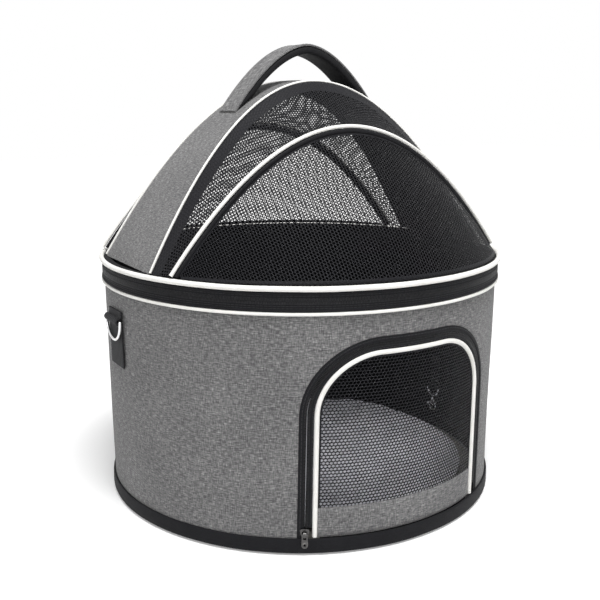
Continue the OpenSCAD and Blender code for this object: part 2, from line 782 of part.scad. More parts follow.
// The cloth strip along the top of the grip
module handle_cover() {
    w = handle_w / 2 - 0.5;
    color("gray") loft([for (i = [0 : handle_n]) let (x = handle_x * arch_u(i, handle_n),
        z = handle_z(x)) [
        [x, -w, z - handle_cover_t * 0.35], [x, -w * 0.8, z], [x, w * 0.8, z],
        [x, w, z - handle_cover_t * 0.35], [x, w, z - handle_cover_t],
        [x, -w, z - handle_cover_t]]]);
}

/* ---- sliders and pulls: +X outwards, +Y along the zip, +Z across it ---- */

back_plate_w = 2 * (zip_gap / 2 + coil_w + seam) - 2 * fit;
plate_x0 = coil_t / 2 + fit;
plate_x1 = plate_x0 + slider_plate_t;
pin_r = 0.9;
bridge_h = 2 * (pin_r + pin_fit) + 1.6;
bridge_l = 5.4;
bridge_w = 2.6;
bridge_r = 1.4;
pin_x = plate_x1 + bridge_h / 2;
pull_t = 1.4;

// A plate with broad shoulders at the nose, where the two rows enter, and a narrow tail
module shouldered_plate(l, w, t) {
    nose_r = 2.2;
    tail_r = 1.2;
    tail_w = 0.66 * w;
    rotate([90, 0, 90]) linear_extrude(t) hull() for (side = [-1, 1]) {
        translate([nose_r - l / 2, side * (w / 2 - nose_r)]) circle(r = nose_r, $fn = 32);
        translate([l / 2 - tail_r, side * (tail_w / 2 - tail_r)]) circle(r = tail_r, $fn = 32);
    }
}

// The fin between the plates leans where a coil is cut at a slant to the wall
module slider(lean = 0) {
    fin = plate_x0 / cos(lean) + 0.2;
    color("dimgray") difference() {
        union() {
            translate([plate_x0, 0, 0]) shouldered_plate(slider_l, slider_w, slider_plate_t);
            translate([-plate_x1, 0, 0])
                shouldered_plate(slider_l, back_plate_w, slider_plate_t);
            rotate([0, lean, 0]) translate([-fin, -slider_l / 4, fit - zip_gap / 2])
                cube([2 * fin, slider_l / 2, zip_gap - 2 * fit]);
            translate([plate_x1 - 0.1, 0, -bridge_w / 2]) linear_extrude(bridge_w) hull() {
                translate([0, -bridge_l / 2]) square([0.1, bridge_l]);
                for (side = [-1, 1])
                    translate([0.1 + bridge_h - bridge_r, side * (bridge_l / 2 - bridge_r)])
                        circle(r = bridge_r, $fn = 32);
            }
        }
        translate([pin_x, 0, 0]) cylinder(h = slop, r = pin_r + pin_fit, center = true, $fn = 32);
    }
}

// A flat tab that widens to a round end, with a window for the bridge and a pin across it
module pull() {
    window_w = bridge_w + 2 * fit;
    window_l = bridge_l / 2 + 2;
    end_r = pull_w / 2;
    neck_w = window_w + 2.2;
    color("gainsboro") translate([pin_x, 0, 0]) {
        difference() {
            translate([-pull_t / 2, 0, 0]) rotate([90, 0, 90]) linear_extrude(pull_t) hull() {
                translate([-pin_r - 0.4, -neck_w / 2]) square([window_l + 1, neck_w]);
                translate([pull_l - end_r - pin_r - 0.4, 0]) circle(r = end_r, $fn = 48);
            }
            translate([-pull_t, -pull_t - pin_r, -window_w / 2])
                cube([2 * pull_t, window_l + pull_t + pin_r, window_w]);
            translate([0, pull_l - end_r - pin_r - 0.4, 0]) rotate([0, 90, 0])
                cylinder(h = slop, r = end_r * 0.4, center = true, $fn = 32);
        }
        cylinder(h = window_w + 0.4, r = pin_r, center = true, $fn = 32);
    }
}

// Places a child on the rim zip or on the base zip, mirrored for the left slider
rim_slider_angle = asin((slider_l + parked_gap) / 2 / track_r);
base_slider_angle = asin((slider_l + parked_gap) / 2 / base_track_r);

module on_track(side, r, z, offset) {
    rotate([0, 0, 90 - side * offset]) translate([r, 0, z])
        mirror([0, side > 0 ? 1 : 0, 0]) children();
}

module rim_place(side) { on_track(side, track_r, parting_z, rim_slider_angle) children(); }
module base_place(side) {
    on_track(side, base_track_r, base_track_z, base_slider_angle) children();
}

module rim_slider_left() { rim_place(-1) slider(); }
module rim_slider_right() { rim_place(1) slider(); }
module rim_pull_left() { rim_place(-1) pull(); }
module rim_pull_right() { rim_place(1) pull(); }
module base_slider_left() { base_place(-1) slider(); }
module base_slider_right() { base_place(1) slider(); }
module base_pull_left() { base_place(-1) pull(); }
module base_pull_right() { base_place(1) pull(); }

// The door's slider is parked at the foot of the left side, below the door's own coil
parked_z = park_z + slider_l / 2;
door_lean = track_angle(parked_z) - 270;

module door_place() {
    on_wall(track_angle(parked_z), parked_z, door_track_inset) rotate([-90, 0, 0]) children();
}

module door_slider() { door_place() slider(door_lean); }
module door_pull() { door_place() pull(); }

base_cover();
base_binding();
base_wire();
floor_board();
cushion_pad();
side_wall();
wall_lining();
door_frame_tape();
door_frame_coil();
tub_rim_hem();
tub_rim_wire();
tub_rim_piping();
tub_zip_tape();
tub_zip_coil();
base_zip_tape();
base_zip_coil();
grommets();
webbing_left();
webbing_right();
tether_strap();
tether_clip();
tether_gate();
door_mesh();
door_sill();
door_piping();
door_edge_tape();
door_edge_coil();
dome_rim_piping();
dome_rim_hem();
dome_rim_wire();
dome_zip_tape();
dome_zip_coil();
centre_band();
band_lining();
band_piping_front();
band_piping_back();
hoop_piping_front();
hoop_piping_back();
hoop_sleeve_front();
hoop_sleeve_back();
hoop_wires();
mesh_lower_front();
mesh_lower_back();
mesh_upper_front();
mesh_upper_back();
handle_pad();
handle_cover();
rim_slider_left();
rim_slider_right();
rim_pull_left();
rim_pull_right();
base_slider_left();
base_slider_right();
base_pull_left();
base_pull_right();
door_slider();
door_pull();
d_ring_left();
d_ring_right();
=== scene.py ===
import math

import bmesh
import bpy
from mathutils import Matrix, Vector, noise
from mathutils.bvhtree import BVHTree


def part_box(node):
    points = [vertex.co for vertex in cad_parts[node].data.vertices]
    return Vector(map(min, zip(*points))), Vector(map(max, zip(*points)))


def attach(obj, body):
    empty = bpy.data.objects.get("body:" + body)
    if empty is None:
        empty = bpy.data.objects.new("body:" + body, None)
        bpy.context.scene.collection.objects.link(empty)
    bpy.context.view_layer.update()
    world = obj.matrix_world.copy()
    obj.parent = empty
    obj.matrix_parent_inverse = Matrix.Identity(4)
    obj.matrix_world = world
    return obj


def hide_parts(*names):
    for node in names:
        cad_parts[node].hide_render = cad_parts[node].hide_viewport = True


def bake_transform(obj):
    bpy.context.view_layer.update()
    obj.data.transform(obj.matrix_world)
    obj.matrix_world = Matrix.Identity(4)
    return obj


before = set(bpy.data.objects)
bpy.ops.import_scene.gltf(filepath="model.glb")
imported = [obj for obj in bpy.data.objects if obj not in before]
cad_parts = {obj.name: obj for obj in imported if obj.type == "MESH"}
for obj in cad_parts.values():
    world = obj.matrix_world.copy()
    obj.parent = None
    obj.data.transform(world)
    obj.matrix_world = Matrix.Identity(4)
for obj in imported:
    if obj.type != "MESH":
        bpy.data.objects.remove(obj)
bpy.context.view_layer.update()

mm = 0.001


# ---- Base cover ------------------------------------------------------------------
# The round underside of the pod, cut from the same heather grey cloth as the wall and
# sewn flat over a thin foam disc, with its edge turned up inside the binding.  All the
# cloth of the pod is finished by the small shader tools that are set out here.


def operator(operation):
    """A method that adds a Math node for its operation."""

    def method(self, *others):
        sockets = dict(enumerate((self, *others)))
        return self.finish.node("ShaderNodeMath", {"operation": operation}, sockets)

    return method


class Field:
    """One output of a shader node; sums on values add Math nodes."""

    def __init__(self, finish, socket):
        self.finish, self.socket = finish, socket

    __add__ = __radd__ = operator("ADD")
    __mul__ = __rmul__ = operator("MULTIPLY")
    wave = operator("SINE")
    size = operator("ABSOLUTE")
    least = operator("MINIMUM")
    most = operator("MAXIMUM")


class Finish:
    """A material on a Principled shader, whose constants are set on its own sockets, and
    the slot of the record that it stands for."""

    def __init__(self, name, slot, shine, sheen=0.0, spread=0.5):
        self.slot = slot
        self.material = bpy.data.materials.new(name)
        self.material.use_nodes = True
        self.tree = self.material.node_tree
        self.shader = self.tree.nodes["Principled BSDF"]
        constants = {"Specular IOR Level": shine, "Sheen Weight": sheen, "Sheen Roughness": spread}
        for socket, value in constants.items():
            self.shader.inputs[socket].default_value = value

    def feed(self, socket, value):
        if isinstance(value, Field):
            self.tree.links.new(value.socket, socket)
        else:
            socket.default_value = value

    def node(self, kind, settings, sockets, out=0):
        made = self.tree.nodes.new(kind)
        for key, value in settings.items():
            setattr(made, key, value)
        for key, value in sockets.items():
            self.feed(made.inputs[key], value)
        return Field(self, made.outputs[out])

    def place(self):
        return self.node("ShaderNodeTexCoord", {}, {}, "Object")

    def cloth_map(self):
        return self.node("ShaderNodeUVMap", {"uv_map": "cloth"}, {})

    def part(self, vector, axis):
        return self.node("ShaderNodeSeparateXYZ", {}, {0: vector}, axis)

    def grain(self, at, scale, detail=2.0, roughness=0.5, shift=(0, 0, 0)):
        """Noise of mean 0.5; scale is cells to the metre, for all three ways or for each."""
        scale = scale if isinstance(scale, tuple) else (scale,) * 3
        at = self.node("ShaderNodeMapping", {}, {"Vector": at, "Scale": scale, "Location": shift})
        sockets = {"Vector": at, "Scale": 1.0, "Detail": detail, "Roughness": roughness}
        return self.node("ShaderNodeTexNoise", {}, sockets)

    def ribs(self, length, pitch):
        """A sine wave from -1 to 1, with one rib to each pitch."""
        return (length * (2 * math.pi / pitch)).wave()

    def ramp(self, value, *stops):
        made = self.node("ShaderNodeValToRGB", {}, {0: value})
        elements = made.socket.node.color_ramp.elements
        for at, colour in stops[1:-1]:
            elements.new(at)
        for element, (at, colour) in zip(elements, stops):
            element.position, element.color = at, (*colour, 1)
        return made

    def fade(self, value, low, high, to_low=0.0, to_high=1.0):
        settings = {"interpolation_type": "SMOOTHSTEP"}
        return self.node("ShaderNodeMapRange", settings, {0: value, 1: low, 2: high, 3: to_low, 4: to_high})

    def vector(self, operation, *values, out=0):
        settings = {"operation": operation}
        return self.node("ShaderNodeVectorMath", settings, dict(enumerate(values)), out)

    def mix(self, share, a, b):
        return self.node("ShaderNodeMix", {"data_type": "RGBA"}, {0: share, 6: a, 7: b}, 2)

    def bump(self, height, distance, strength=1.0, under=None):
        sockets = {"Height": height, "Distance": distance, "Strength": strength}
        if under is not None:
            sockets["Normal"] = under
        return self.node("ShaderNodeBump", {}, sockets)

    def show(self, **fields):
        names = {"colour": "Base Color", "roughness": "Roughness", "metallic": "Metallic"}
        names |= {"alpha": "Alpha", "normal": "Normal", "glow": "Emission Color"}
        for key, value in fields.items():
            self.feed(self.shader.inputs[names[key]], value)
        return self


def heather_cloth():
    """Two-tone yarns, some thicker and paler, in a plain weave of about 0.9 mm."""
    cloth = Finish("heather_cloth", "heather", 0.25, sheen=0.12)
    at = cloth.cloth_map()
    weft = cloth.grain(at, (170, 950, 1), 2.0, 0.6)
    warp = cloth.grain(at, (950, 170, 1), 2.0, 0.6, shift=(7, 3, 0))
    slub = cloth.grain(at, (110, 420, 1), 1.0, shift=(3, 9, 0))
    broad = cloth.grain(at, (16, 16, 1), 3.0)
    tone = weft * 0.46 + warp * 0.36 + slub * 0.10 + broad * 0.08
    colour = cloth.ramp(
        tone,
        (0.32, (0.034, 0.034, 0.036)),
        (0.46, (0.102, 0.101, 0.103)),
        (0.55, (0.184, 0.182, 0.182)),
        (0.69, (0.400, 0.396, 0.391)),
    )
    across, up = (cloth.ribs(cloth.part(at, axis), 0.9 * mm) for axis in (0, 1))
    weave = across * up * 0.5 + weft * 0.8 + warp * 0.8
    normal = cloth.bump(weave, 0.18 * mm, 0.6)
    return cloth.show(colour=colour, roughness=tone * -0.25 + 0.95, normal=normal)


heather = heather_cloth()


def piece(name, bm, finish, body, replaced=(), sharp=50):
    """Makes a mesh of bm, finishes it and lets it ride on its body."""
    mesh = bpy.data.meshes.new(name)
    bm.to_mesh(mesh)
    bm.free()
    made = bpy.data.objects.new(name, mesh)
    bpy.context.scene.collection.objects.link(made)
    mesh.materials.append(finish.material)
    mesh.shade_smooth()
    mesh.set_sharp_from_angle(angle=math.radians(sharp))
    if body:
        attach(made, body)
    if replaced:
        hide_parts(*replaced)
    return made


def map_cloth(bm, place):
    """Lays the cloth's own map, in metres; place gives it for a corner and its face."""
    layer = bm.loops.layers.uv.get("cloth") or bm.loops.layers.uv.new("cloth")
    for face in bm.faces:
        for corner in face.loops:
            corner[layer].uv = place(corner.vert, face)


cover_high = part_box("base_cover")[1]
cover_r, turned = cover_high.x, 1.6 * mm
bm = bmesh.new()
bmesh.ops.create_circle(bm, cap_ends=True, segments=128, radius=cover_r - turned)
for inset in (12 * mm, 24 * mm, 60 * mm):
    bmesh.ops.inset_region(bm, faces=[f for f in bm.faces if len(f.verts) > 4], thickness=inset)
for spread, up in ((cover_r / (cover_r - turned), turned), (1, cover_high.z - turned)):
    outline = [e for e in bm.edges if e.is_boundary]
    walls = bmesh.ops.extrude_edge_only(bm, edges=outline)["geom"]
    rim = [g for g in walls if isinstance(g, bmesh.types.BMVert)]
    bmesh.ops.scale(bm, verts=rim, vec=(spread, spread, 1))
    bmesh.ops.translate(bm, verts=rim, vec=(0, 0, up))
bmesh.ops.contextual_create(bm, geom=[e for e in bm.edges if e.is_boundary])
bmesh.ops.recalc_face_normals(bm, faces=bm.faces)
map_cloth(bm, lambda v, f: (v.co.x, v.co.y))
piece("base_panel", bm, heather, "tub", ["base_cover"])


# ---- Binding round the foot ------------------------------------------------------
# Black ribbed tape, folded over the raw edges of the base panel and the wall and sewn
# through near its upper edge.  It stands a little proud, with a soft rounded face.


def ribbed_tape(name, pitch, dark=(0.004, 0.004, 0.005), light=(0.012, 0.012, 0.014)):
    """Woven tape with ribs across its length and a dull sheen."""
    tape = Finish(name, name, 0.12, sheen=0.03, spread=0.4)
    at = tape.cloth_map()
    rib = tape.ribs(tape.part(at, 0), pitch) * 0.5 + 0.5
    yarn = tape.grain(at, (400, 2600, 1))
    worn = tape.grain(at, (60, 60, 1), 3.0)
    tone = rib * 0.35 + yarn * 0.45 + worn * 0.3
    colour = tape.ramp(tone, (0.3, dark), (0.75, light))
    normal = tape.bump(rib * 0.7 + yarn * 0.4, 0.22 * mm, 0.7)
    return tape.show(colour=colour, roughness=tone * -0.2 + 0.82, normal=normal)


grosgrain = ribbed_tape("black_tape", 1.1 * mm)


def section(bm, sides, square):
    """A loop of one unit each way; square below 1 makes it more like a rectangle."""
    made = bmesh.ops.create_circle(bm, cap_ends=False, segments=sides, radius=1)["verts"]
    for v in made:
        v.co.x = math.copysign(abs(v.co.x) ** square, v.co.x)
        v.co.y = math.copysign(abs(v.co.y) ** square, v.co.y)
    return made


def swept(path, outward, sizes, sides=12, square=1.0, closed=False):
    """Cloth or cord that follows a path: a section is extruded from point to point.
    outward says which way its face looks; sizes are its width and depth, or a cord's one."""
    bm = bmesh.new()
    along, around = bm.verts.layers.float.new("along"), bm.verts.layers.float.new("around")
    count = len(path)
    if not isinstance(sizes, list):
        sizes = [sizes if isinstance(sizes, tuple) else (sizes, sizes)] * count
    frames, lengths = [], [0.0]
    for i, point in enumerate(path):
        ahead = path[(i + 1) % count] if closed or i < count - 1 else point
        behind = path[i - 1] if closed or i else point
        run = (ahead - behind).normalized()
        out = (outward[i] - outward[i].dot(run) * run).normalized()
        turn = Matrix((out.cross(run), out, run)).transposed().to_4x4()
        size = Matrix.Diagonal((sizes[i][0] / 2, sizes[i][1] / 2, 1, 1))
        frames.append(Matrix.Translation(point) @ turn @ size)
        lengths.append(lengths[-1] + (ahead - point).length)
    loop = section(bm, sides, square)
    rounding = 0.9
    girth = 2 * (max(s[0] for s in sizes) + max(s[1] for s in sizes)) * rounding
    for k, v in enumerate(loop):
        v[around] = girth * k / sides
    bmesh.ops.transform(bm, matrix=frames[0], verts=loop)
    first = edges = list(bm.edges)
    for i in range(1, count):
        made = bmesh.ops.extrude_edge_only(bm, edges=edges)["geom"]
        fresh = {g for g in made if isinstance(g, bmesh.types.BMVert)}
        edges = [g for g in made if isinstance(g, bmesh.types.BMEdge) and set(g.verts) <= fresh]
        bmesh.ops.transform(bm, matrix=frames[i] @ frames[i - 1].inverted(), verts=list(fresh))
        for v in fresh:
            v[along] = lengths[i]
    if closed:
        bmesh.ops.bridge_loops(bm, edges=first + edges)
    else:
        bmesh.ops.edgeloop_fill(bm, edges=first)
        bmesh.ops.edgeloop_fill(bm, edges=edges)
    bmesh.ops.recalc_face_normals(bm, faces=bm.faces)
    total = lengths[count] if closed else math.inf

    def lay(v, face):
        u, t = v[along], v[around]
        if max(w[along] for w in face.verts) - u > total / 2:
            u += total
        if max(w[around] for w in face.verts) - t > girth / 2:
            t += girth
        return u, t

    map_cloth(bm, lay)
    return bm


def faces_across(path, across):
    """The way out at each point of a path whose width lies along across."""
    ends = zip(path[:1] + path, path[1:] + path[-1:])
    return [(ahead - behind).cross(across).normalized() for behind, ahead in ends]


def round_path(radius, z, start=-180.0, turn=360.0, count=180):
    """Points on a level circle, with the way out at each; 0 degrees is the door's middle."""
    last = count if turn >= 360 else count - 1
    angles = [math.radians(start + turn * i / last) for i in range(count)]
    out = [Vector((math.sin(a), -math.cos(a), 0)) for a in angles]
    return [Vector((0, 0, z)) + radius * o for o in out], out


def ripple(*at):
    """Smooth noise, from about -1 to 1."""
    return noise.noise(Vector(at))


def wander(path, reach, pace, *seed):
    """Lets a path rise and fall a little, as sewn work does."""
    for i, p in enumerate(path):
        p.z += reach * ripple(i * pace, *seed)


binding_low, binding_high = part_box("base_binding")
zip_low, zip_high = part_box("base_zip_tape")
binding_z = (binding_low.z + binding_high.z) / 2
binding_r = max(binding_high.x, -binding_low.x)
zip_half_angle = math.degrees(math.asin(zip_high.x / math.hypot(zip_high.x, zip_low.y)))
zip_turn = 2 * zip_half_angle
path, out = round_path(binding_r - 1.0 * mm, binding_z, zip_half_angle - 180, 360 - zip_turn, 220)
wander(path, 0.35 * mm, 0.11, 2, 0)
bm = swept(path, out, (14.6 * mm, 3.0 * mm), 16, 0.42)
piece("foot_binding", bm, grosgrain, "tub", ["base_binding"])


# ---- Zip at the foot of the back ------------------------------------------------
# A short coil zip, let into the binding so that the cover can be taken off its board:
# two strips of woven tape, each with a row of nylon turns, and two sliders that meet
# in the middle.  The sliders and pulls are die cast and plated black nickel.


def nylon_coil():
    """Moulded nylon turns, a little glossy where they are rubbed."""
    nylon = Finish("nylon_coil", "coil", 0.3)
    at = nylon.place()
    tone = nylon.grain(at, 420)
    colour = nylon.ramp(tone, (0.35, (0.005, 0.005, 0.006)), (0.7, (0.020, 0.020, 0.022)))
    normal = nylon.bump(tone, 0.1 * mm, 0.4)
    return nylon.show(colour=colour, roughness=tone * 0.3 + 0.28, normal=normal)


def plated(name, base, bright, dull, worn):
    """Plated metal: fine scuffs in the gloss and a little wear to a paler tone."""
    metal = Finish(name, "", 0.5)
    at = metal.place()
    scuff = metal.grain(at, 300, 4.0, 0.7)
    rubbed = metal.fade(metal.grain(at, 130, 3.0, shift=(4, 1, 7)), 0.56, 0.72)
    colour = metal.mix(rubbed, (*base, 1), (*worn, 1))
    normal = metal.bump(scuff, 0.06 * mm, 0.35)
    gloss = metal.fade(scuff, 0.3, 0.75, bright, dull)
    return metal.show(colour=colour, metallic=1.0, roughness=gloss, normal=normal)


coil_black = nylon_coil()
black_nickel = plated("black_nickel", (0.085, 0.083, 0.082), 0.2, 0.42, (0.26, 0.25, 0.24))


def spaced(path, out, first, pitch):
    """Places at an even pitch along a path, each with its way out and its way along."""
    due, gone = first, 0.0
    for i in range(len(path) - 1):
        run = path[i + 1] - path[i]
        while run.length and due <= gone + run.length:
            along = run.normalized()
            face = out[i].lerp(out[i + 1], 0.5)
            face = (face - face.dot(along) * along).normalized()
            yield path[i].lerp(path[i + 1], (due - gone) / run.length), face, along
            due += pitch
        gone += run.length


def rods(places, sides):
    """A short rod at each place; places give its centre, its three ways and its three sizes."""
    bm = bmesh.new()
    for at, ways, sizes in places:
        turn = Matrix(ways).transposed().to_4x4()
        place = Matrix.Translation(at) @ turn @ Matrix.Diagonal((*sizes, 1))
        shape = {"cap_ends": True, "segments": sides, "radius1": 1, "radius2": 1, "depth": 1}
        bmesh.ops.create_cone(bm, **shape, matrix=place)
    bmesh.ops.recalc_face_normals(bm, faces=bm.faces)
    return bm


def coil(path, out, wide, shift, thick=3.0 * mm, pitch=1.5 * mm):
    """A row of turns, each an oval that lies across the zip; every turn has few faces."""
    sizes = (thick / 2, pitch * 0.40, wide)
    row = spaced(path, out, shift * pitch, pitch)
    return rods(((at, (face, along, face.cross(along)), sizes) for at, face, along in row), 6)


base_coil_low, base_coil_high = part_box("base_zip_coil")
zip_z = (base_coil_low.z + base_coil_high.z) / 2
zip_reach = (base_coil_high.z - base_coil_low.z) / 2
track_r = math.hypot(base_coil_high.x, base_coil_low.y) - 0.1 * mm
tape_r = math.hypot(zip_high.x, zip_low.y) - 1.4 * mm
for side, name, stands, shift in ((-1, "lower", 1, 0.25), (1, "upper", 0, 0.75)):
    edge = zip_z + side * (zip_reach + (zip_high.z - zip_z)) / 2
    width = zip_high.z - zip_z - zip_reach
    track = round_path(tape_r, edge, 180 - zip_half_angle, zip_turn, 48)
    bm = swept(*track, (width + 1.4 * mm, 3.2 * mm), 12, 0.45)
    piece("foot_zip_tape_" + name, bm, grosgrain, "tub", ["base_zip_tape"][:stands])
    row = zip_z + side * (zip_reach * 0.52)
    track = round_path(track_r, row, 180 - zip_half_angle, zip_turn, 48)
    bm = coil(*track, 3.0 * mm, shift)
    piece("foot_zip_coil_" + name, bm, coil_black, "tub", ["base_zip_coil"][:stands])


def dress(names, finish):
    """Gives a CAD node whose shape stays its finish."""
    for name in names:
        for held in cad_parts[name].material_slots:
            held.material = finish.material


dress(["base_slider_left", "base_slider_right", "base_pull_left", "base_pull_right"], black_nickel)


# ---- Floor board and hem wires ---------------------------------------------------
# A stiff grey board keeps the bottom flat under the cushion, and spring steel wires in
# the hems keep the foot and both rims round.


def grey_board():
    """Pressed board with flecks of fibre."""
    board = Finish("grey_board", "", 0.2)
    at = board.place()
    fleck = board.grain(at, 500, 3.0, 0.7)
    cloud = board.grain(at, 18, 3.0)
    colour = board.ramp(fleck * 0.6 + cloud * 0.4, (0.35, (0.26, 0.25, 0.23)), (0.65, (0.40, 0.38, 0.35)))
    return board.show(colour=colour, roughness=fleck * 0.2 + 0.75, normal=board.bump(fleck, 0.1 * mm, 0.5))


dress(["floor_board"], grey_board())
spring_steel = plated("spring_steel", (0.50, 0.50, 0.51), 0.22, 0.45, (0.62, 0.62, 0.62))
dress(["base_wire", "tub_rim_wire", "dome_rim_wire", "hoop_wires"], spring_steel)


# ---- Side wall -------------------------------------------------------------------
# The wall is one long piece of heather cloth on 5 mm foam, cut flat with the arch of
# the door taken out of its lower edge, then bent into a ring and joined at the side.
# Its edges draw in a little where they are sewn.

wall_low, wall_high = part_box("side_wall")
foot_z, top_z = wall_low.z, wall_high.z
flare = 7 * mm
foot_r = wall_high.y - flare


def wall_r(z):
    return foot_r + flare * (z - foot_z) / (top_z - foot_z)


piping_low, piping_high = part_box("door_piping")
door_piping_r = 2.5 * mm
door_half = (piping_high.x - piping_low.x) / 2 - door_piping_r
door_top = piping_high.z - door_piping_r
door_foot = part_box("door_frame_tape")[0].z
door_corner = 60 * mm
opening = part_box("door_frame_tape")[1].x - door_half + 0.2 * mm


def arch(offset, foot, side_steps=8, corner_steps=12, top_steps=6):
    """The door's outline, offset outside its piping, from its left foot to its right."""
    half, top, r = door_half + offset, door_top + offset, door_corner + offset
    left = [(-half, foot + (top - r - foot) * i / side_steps) for i in range(side_steps)]
    for i in range(corner_steps + 1):
        a = math.radians(180 - 90 * i / corner_steps)
        left.append((r - half + r * math.cos(a), top - r + r * math.sin(a)))
    flat = half - r
    middle = [(-flat + 2 * flat * i / top_steps, top) for i in range(1, top_steps)]
    return left + middle + [(-x, z) for x, z in reversed(left)]


def past_arch(x, z, offset):
    """How far a place is outside the arch."""
    half, top, r = door_half + offset, door_top + offset, door_corner + offset
    dx, dz = abs(x) - half + r, z - top + r
    if dz <= 0:
        return abs(x) - half
    return z - top if dx <= 0 else math.hypot(dx, dz) - r


def cut_flat(outline, step_s, step_z, extra_z=()):
    """Cuts a pattern piece from flat cloth and rules it into small squares."""
    bm = bmesh.new()
    corners = [bm.verts.new((s, z, 0)) for s, z in outline]
    bm.faces.new(corners)
    low_s, high_s = min(s for s, z in outline), max(s for s, z in outline)
    low_z, high_z = min(z for s, z in outline), max(z for s, z in outline)
    count_s = round((high_s - low_s) / step_s)
    count_z = round((high_z - low_z) / step_z)
    rules = [((low_s + (high_s - low_s) * i / count_s, 0, 0), (1, 0, 0)) for i in range(1, count_s)]
    heights = [low_z + (high_z - low_z) * i / count_z for i in range(1, count_z)]
    rules += [((0, z, 0), (0, 1, 0)) for z in heights + list(extra_z)]
    for at, across in rules:
        everything = bm.verts[:] + bm.edges[:] + bm.faces[:]
        bmesh.ops.bisect_plane(bm, geom=everything, dist=1e-7, plane_co=at, plane_no=across)
    many = [f for f in bm.faces if len(f.verts) > 4]
    bmesh.ops.triangulate(bm, faces=many)
    return bm


def look_out(bm):
    """Turns the faces of one layer of cloth to the outside of the pod."""
    bmesh.ops.recalc_face_normals(bm, faces=bm.faces)
    cabin = Vector((0, 0, 0.15))
    middle = min(bm.faces, key=lambda f: f.calc_center_median().x ** 2)
    if middle.normal.dot(middle.calc_center_median() - cabin) < 0:
        bmesh.ops.reverse_faces(bm, faces=bm.faces)


def thicken(bm, by):
    """Gives cloth its thickness, on the side away from its face."""
    bmesh.ops.solidify(bm, geom=bm.faces[:], thickness=by)


def settled(near, reach):
    """0 at a sewn edge, and near 1 once that is more than a few reaches away."""
    return 1 - math.exp(-max(near, 0) / reach)


mean_r = foot_r + flare / 2
seam_turn = math.radians(-270)


def wall_cloth(inset, offset, roll, sway, step):
    """The ring's pattern, cut, mapped, and bent round at a depth below the wall's face."""

    def s_of(x, z):
        return mean_r * math.asin(max(-1, min(1, x / (wall_r(z) - inset))))

    first, last = mean_r * seam_turn, mean_r * (seam_turn + 2 * math.pi)
    outline = [(first, foot_z)] + [(s_of(x, z), z) for x, z in arch(offset, foot_z)]
    outline += [(last, foot_z), (last, top_z), (first, top_z)]
    bm = cut_flat(outline, step, step, [foot_z + 2 * mm, foot_z + 5 * mm, top_z - 2 * mm, top_z - 5 * mm])
    map_cloth(bm, lambda v, f: (v.co.x + 2, v.co.y))
    for v in bm.verts:
        a, z = v.co.x / mean_r, v.co.y
        r = wall_r(z) - inset
        x = r * math.sin(a)
        near = min(z - foot_z, top_z - z)
        if abs(a) < math.pi / 2:
            near = min(near, past_arch(x, z, offset))
        r -= roll * math.exp(-max(near, 0) / (3.5 * mm))
        at = Vector((math.sin(a) * 2.2, math.cos(a) * 2.2, z * 9))
        r -= sway * (0.5 + noise.noise(at)) * settled(near, 14 * mm)
        v.co = (r * math.sin(a), -r * math.cos(a), z)
    bmesh.ops.remove_doubles(bm, verts=bm.verts, dist=1e-6)
    look_out(bm)
    return bm


bm = wall_cloth(0.0, opening, 1.3 * mm, 0.8 * mm, 8 * mm)
thicken(bm, 4.4 * mm)
piece("wall", bm, heather, "tub", ["side_wall"])


# ---- Lining ----------------------------------------------------------------------
# Plain black nylon cloth, cut like the wall and sewn to it round the door and both rims.


def lining_cloth():
    """Fine plain-weave nylon with soft creases."""
    nylon = Finish("lining_cloth", "lining", 0.1, sheen=0.03)
    at = nylon.cloth_map()
    yarn = nylon.grain(at, (1500, 1500, 1), 1.0)
    crease = nylon.grain(at, (25, 9, 1), 4.0, 0.6)
    tone = yarn * 0.5 + crease * 0.5
    colour = nylon.ramp(tone, (0.3, (0.003, 0.003, 0.004)), (0.7, (0.011, 0.011, 0.012)))
    fine = nylon.bump(yarn, 0.1 * mm, 0.4)
    normal = nylon.bump(crease, 3 * mm, 0.4, fine)
    return nylon.show(colour=colour, roughness=crease * 0.15 + 0.78, normal=normal)


lining = lining_cloth()
bm = wall_cloth(5.2 * mm, opening, -0.3 * mm, 0.4 * mm, 16 * mm)
thicken(bm, 0.9 * mm)
piece("wall_lining_cloth", bm, lining, "tub", ["wall_lining"])


# ---- Grommets, side webbing and side rings ---------------------------------------
# Two plated brass grommets are pressed through the back of the wall.  At each side a
# patch of 38 mm webbing is sewn down and folded over the bar of a D-shaped wire ring.

chrome = plated("bright_plate", (0.72, 0.72, 0.73), 0.08, 0.24, (0.60, 0.58, 0.55))
dress(["grommets", "d_ring_left", "d_ring_right"], chrome)


def belt_webbing():
    """Polypropylene webbing: bold ribs along its length, crossed by a fine weft."""
    belt = Finish("belt_webbing", "webbing", 0.15, sheen=0.03)
    at = belt.cloth_map()
    rib = belt.ribs(belt.part(at, 1), 2.6 * mm).size()
    weft = belt.ribs(belt.part(at, 0), 1.4 * mm) * 0.5 + 0.5
    yarn = belt.grain(at, (900, 500, 1))
    tone = rib * 0.45 + weft * 0.25 + yarn * 0.3
    colour = belt.ramp(tone, (0.25, (0.004, 0.004, 0.005)), (0.8, (0.024, 0.024, 0.026)))
    return belt.show(colour=colour, roughness=tone * -0.2 + 0.8, normal=belt.bump(tone, 0.5 * mm, 0.8))


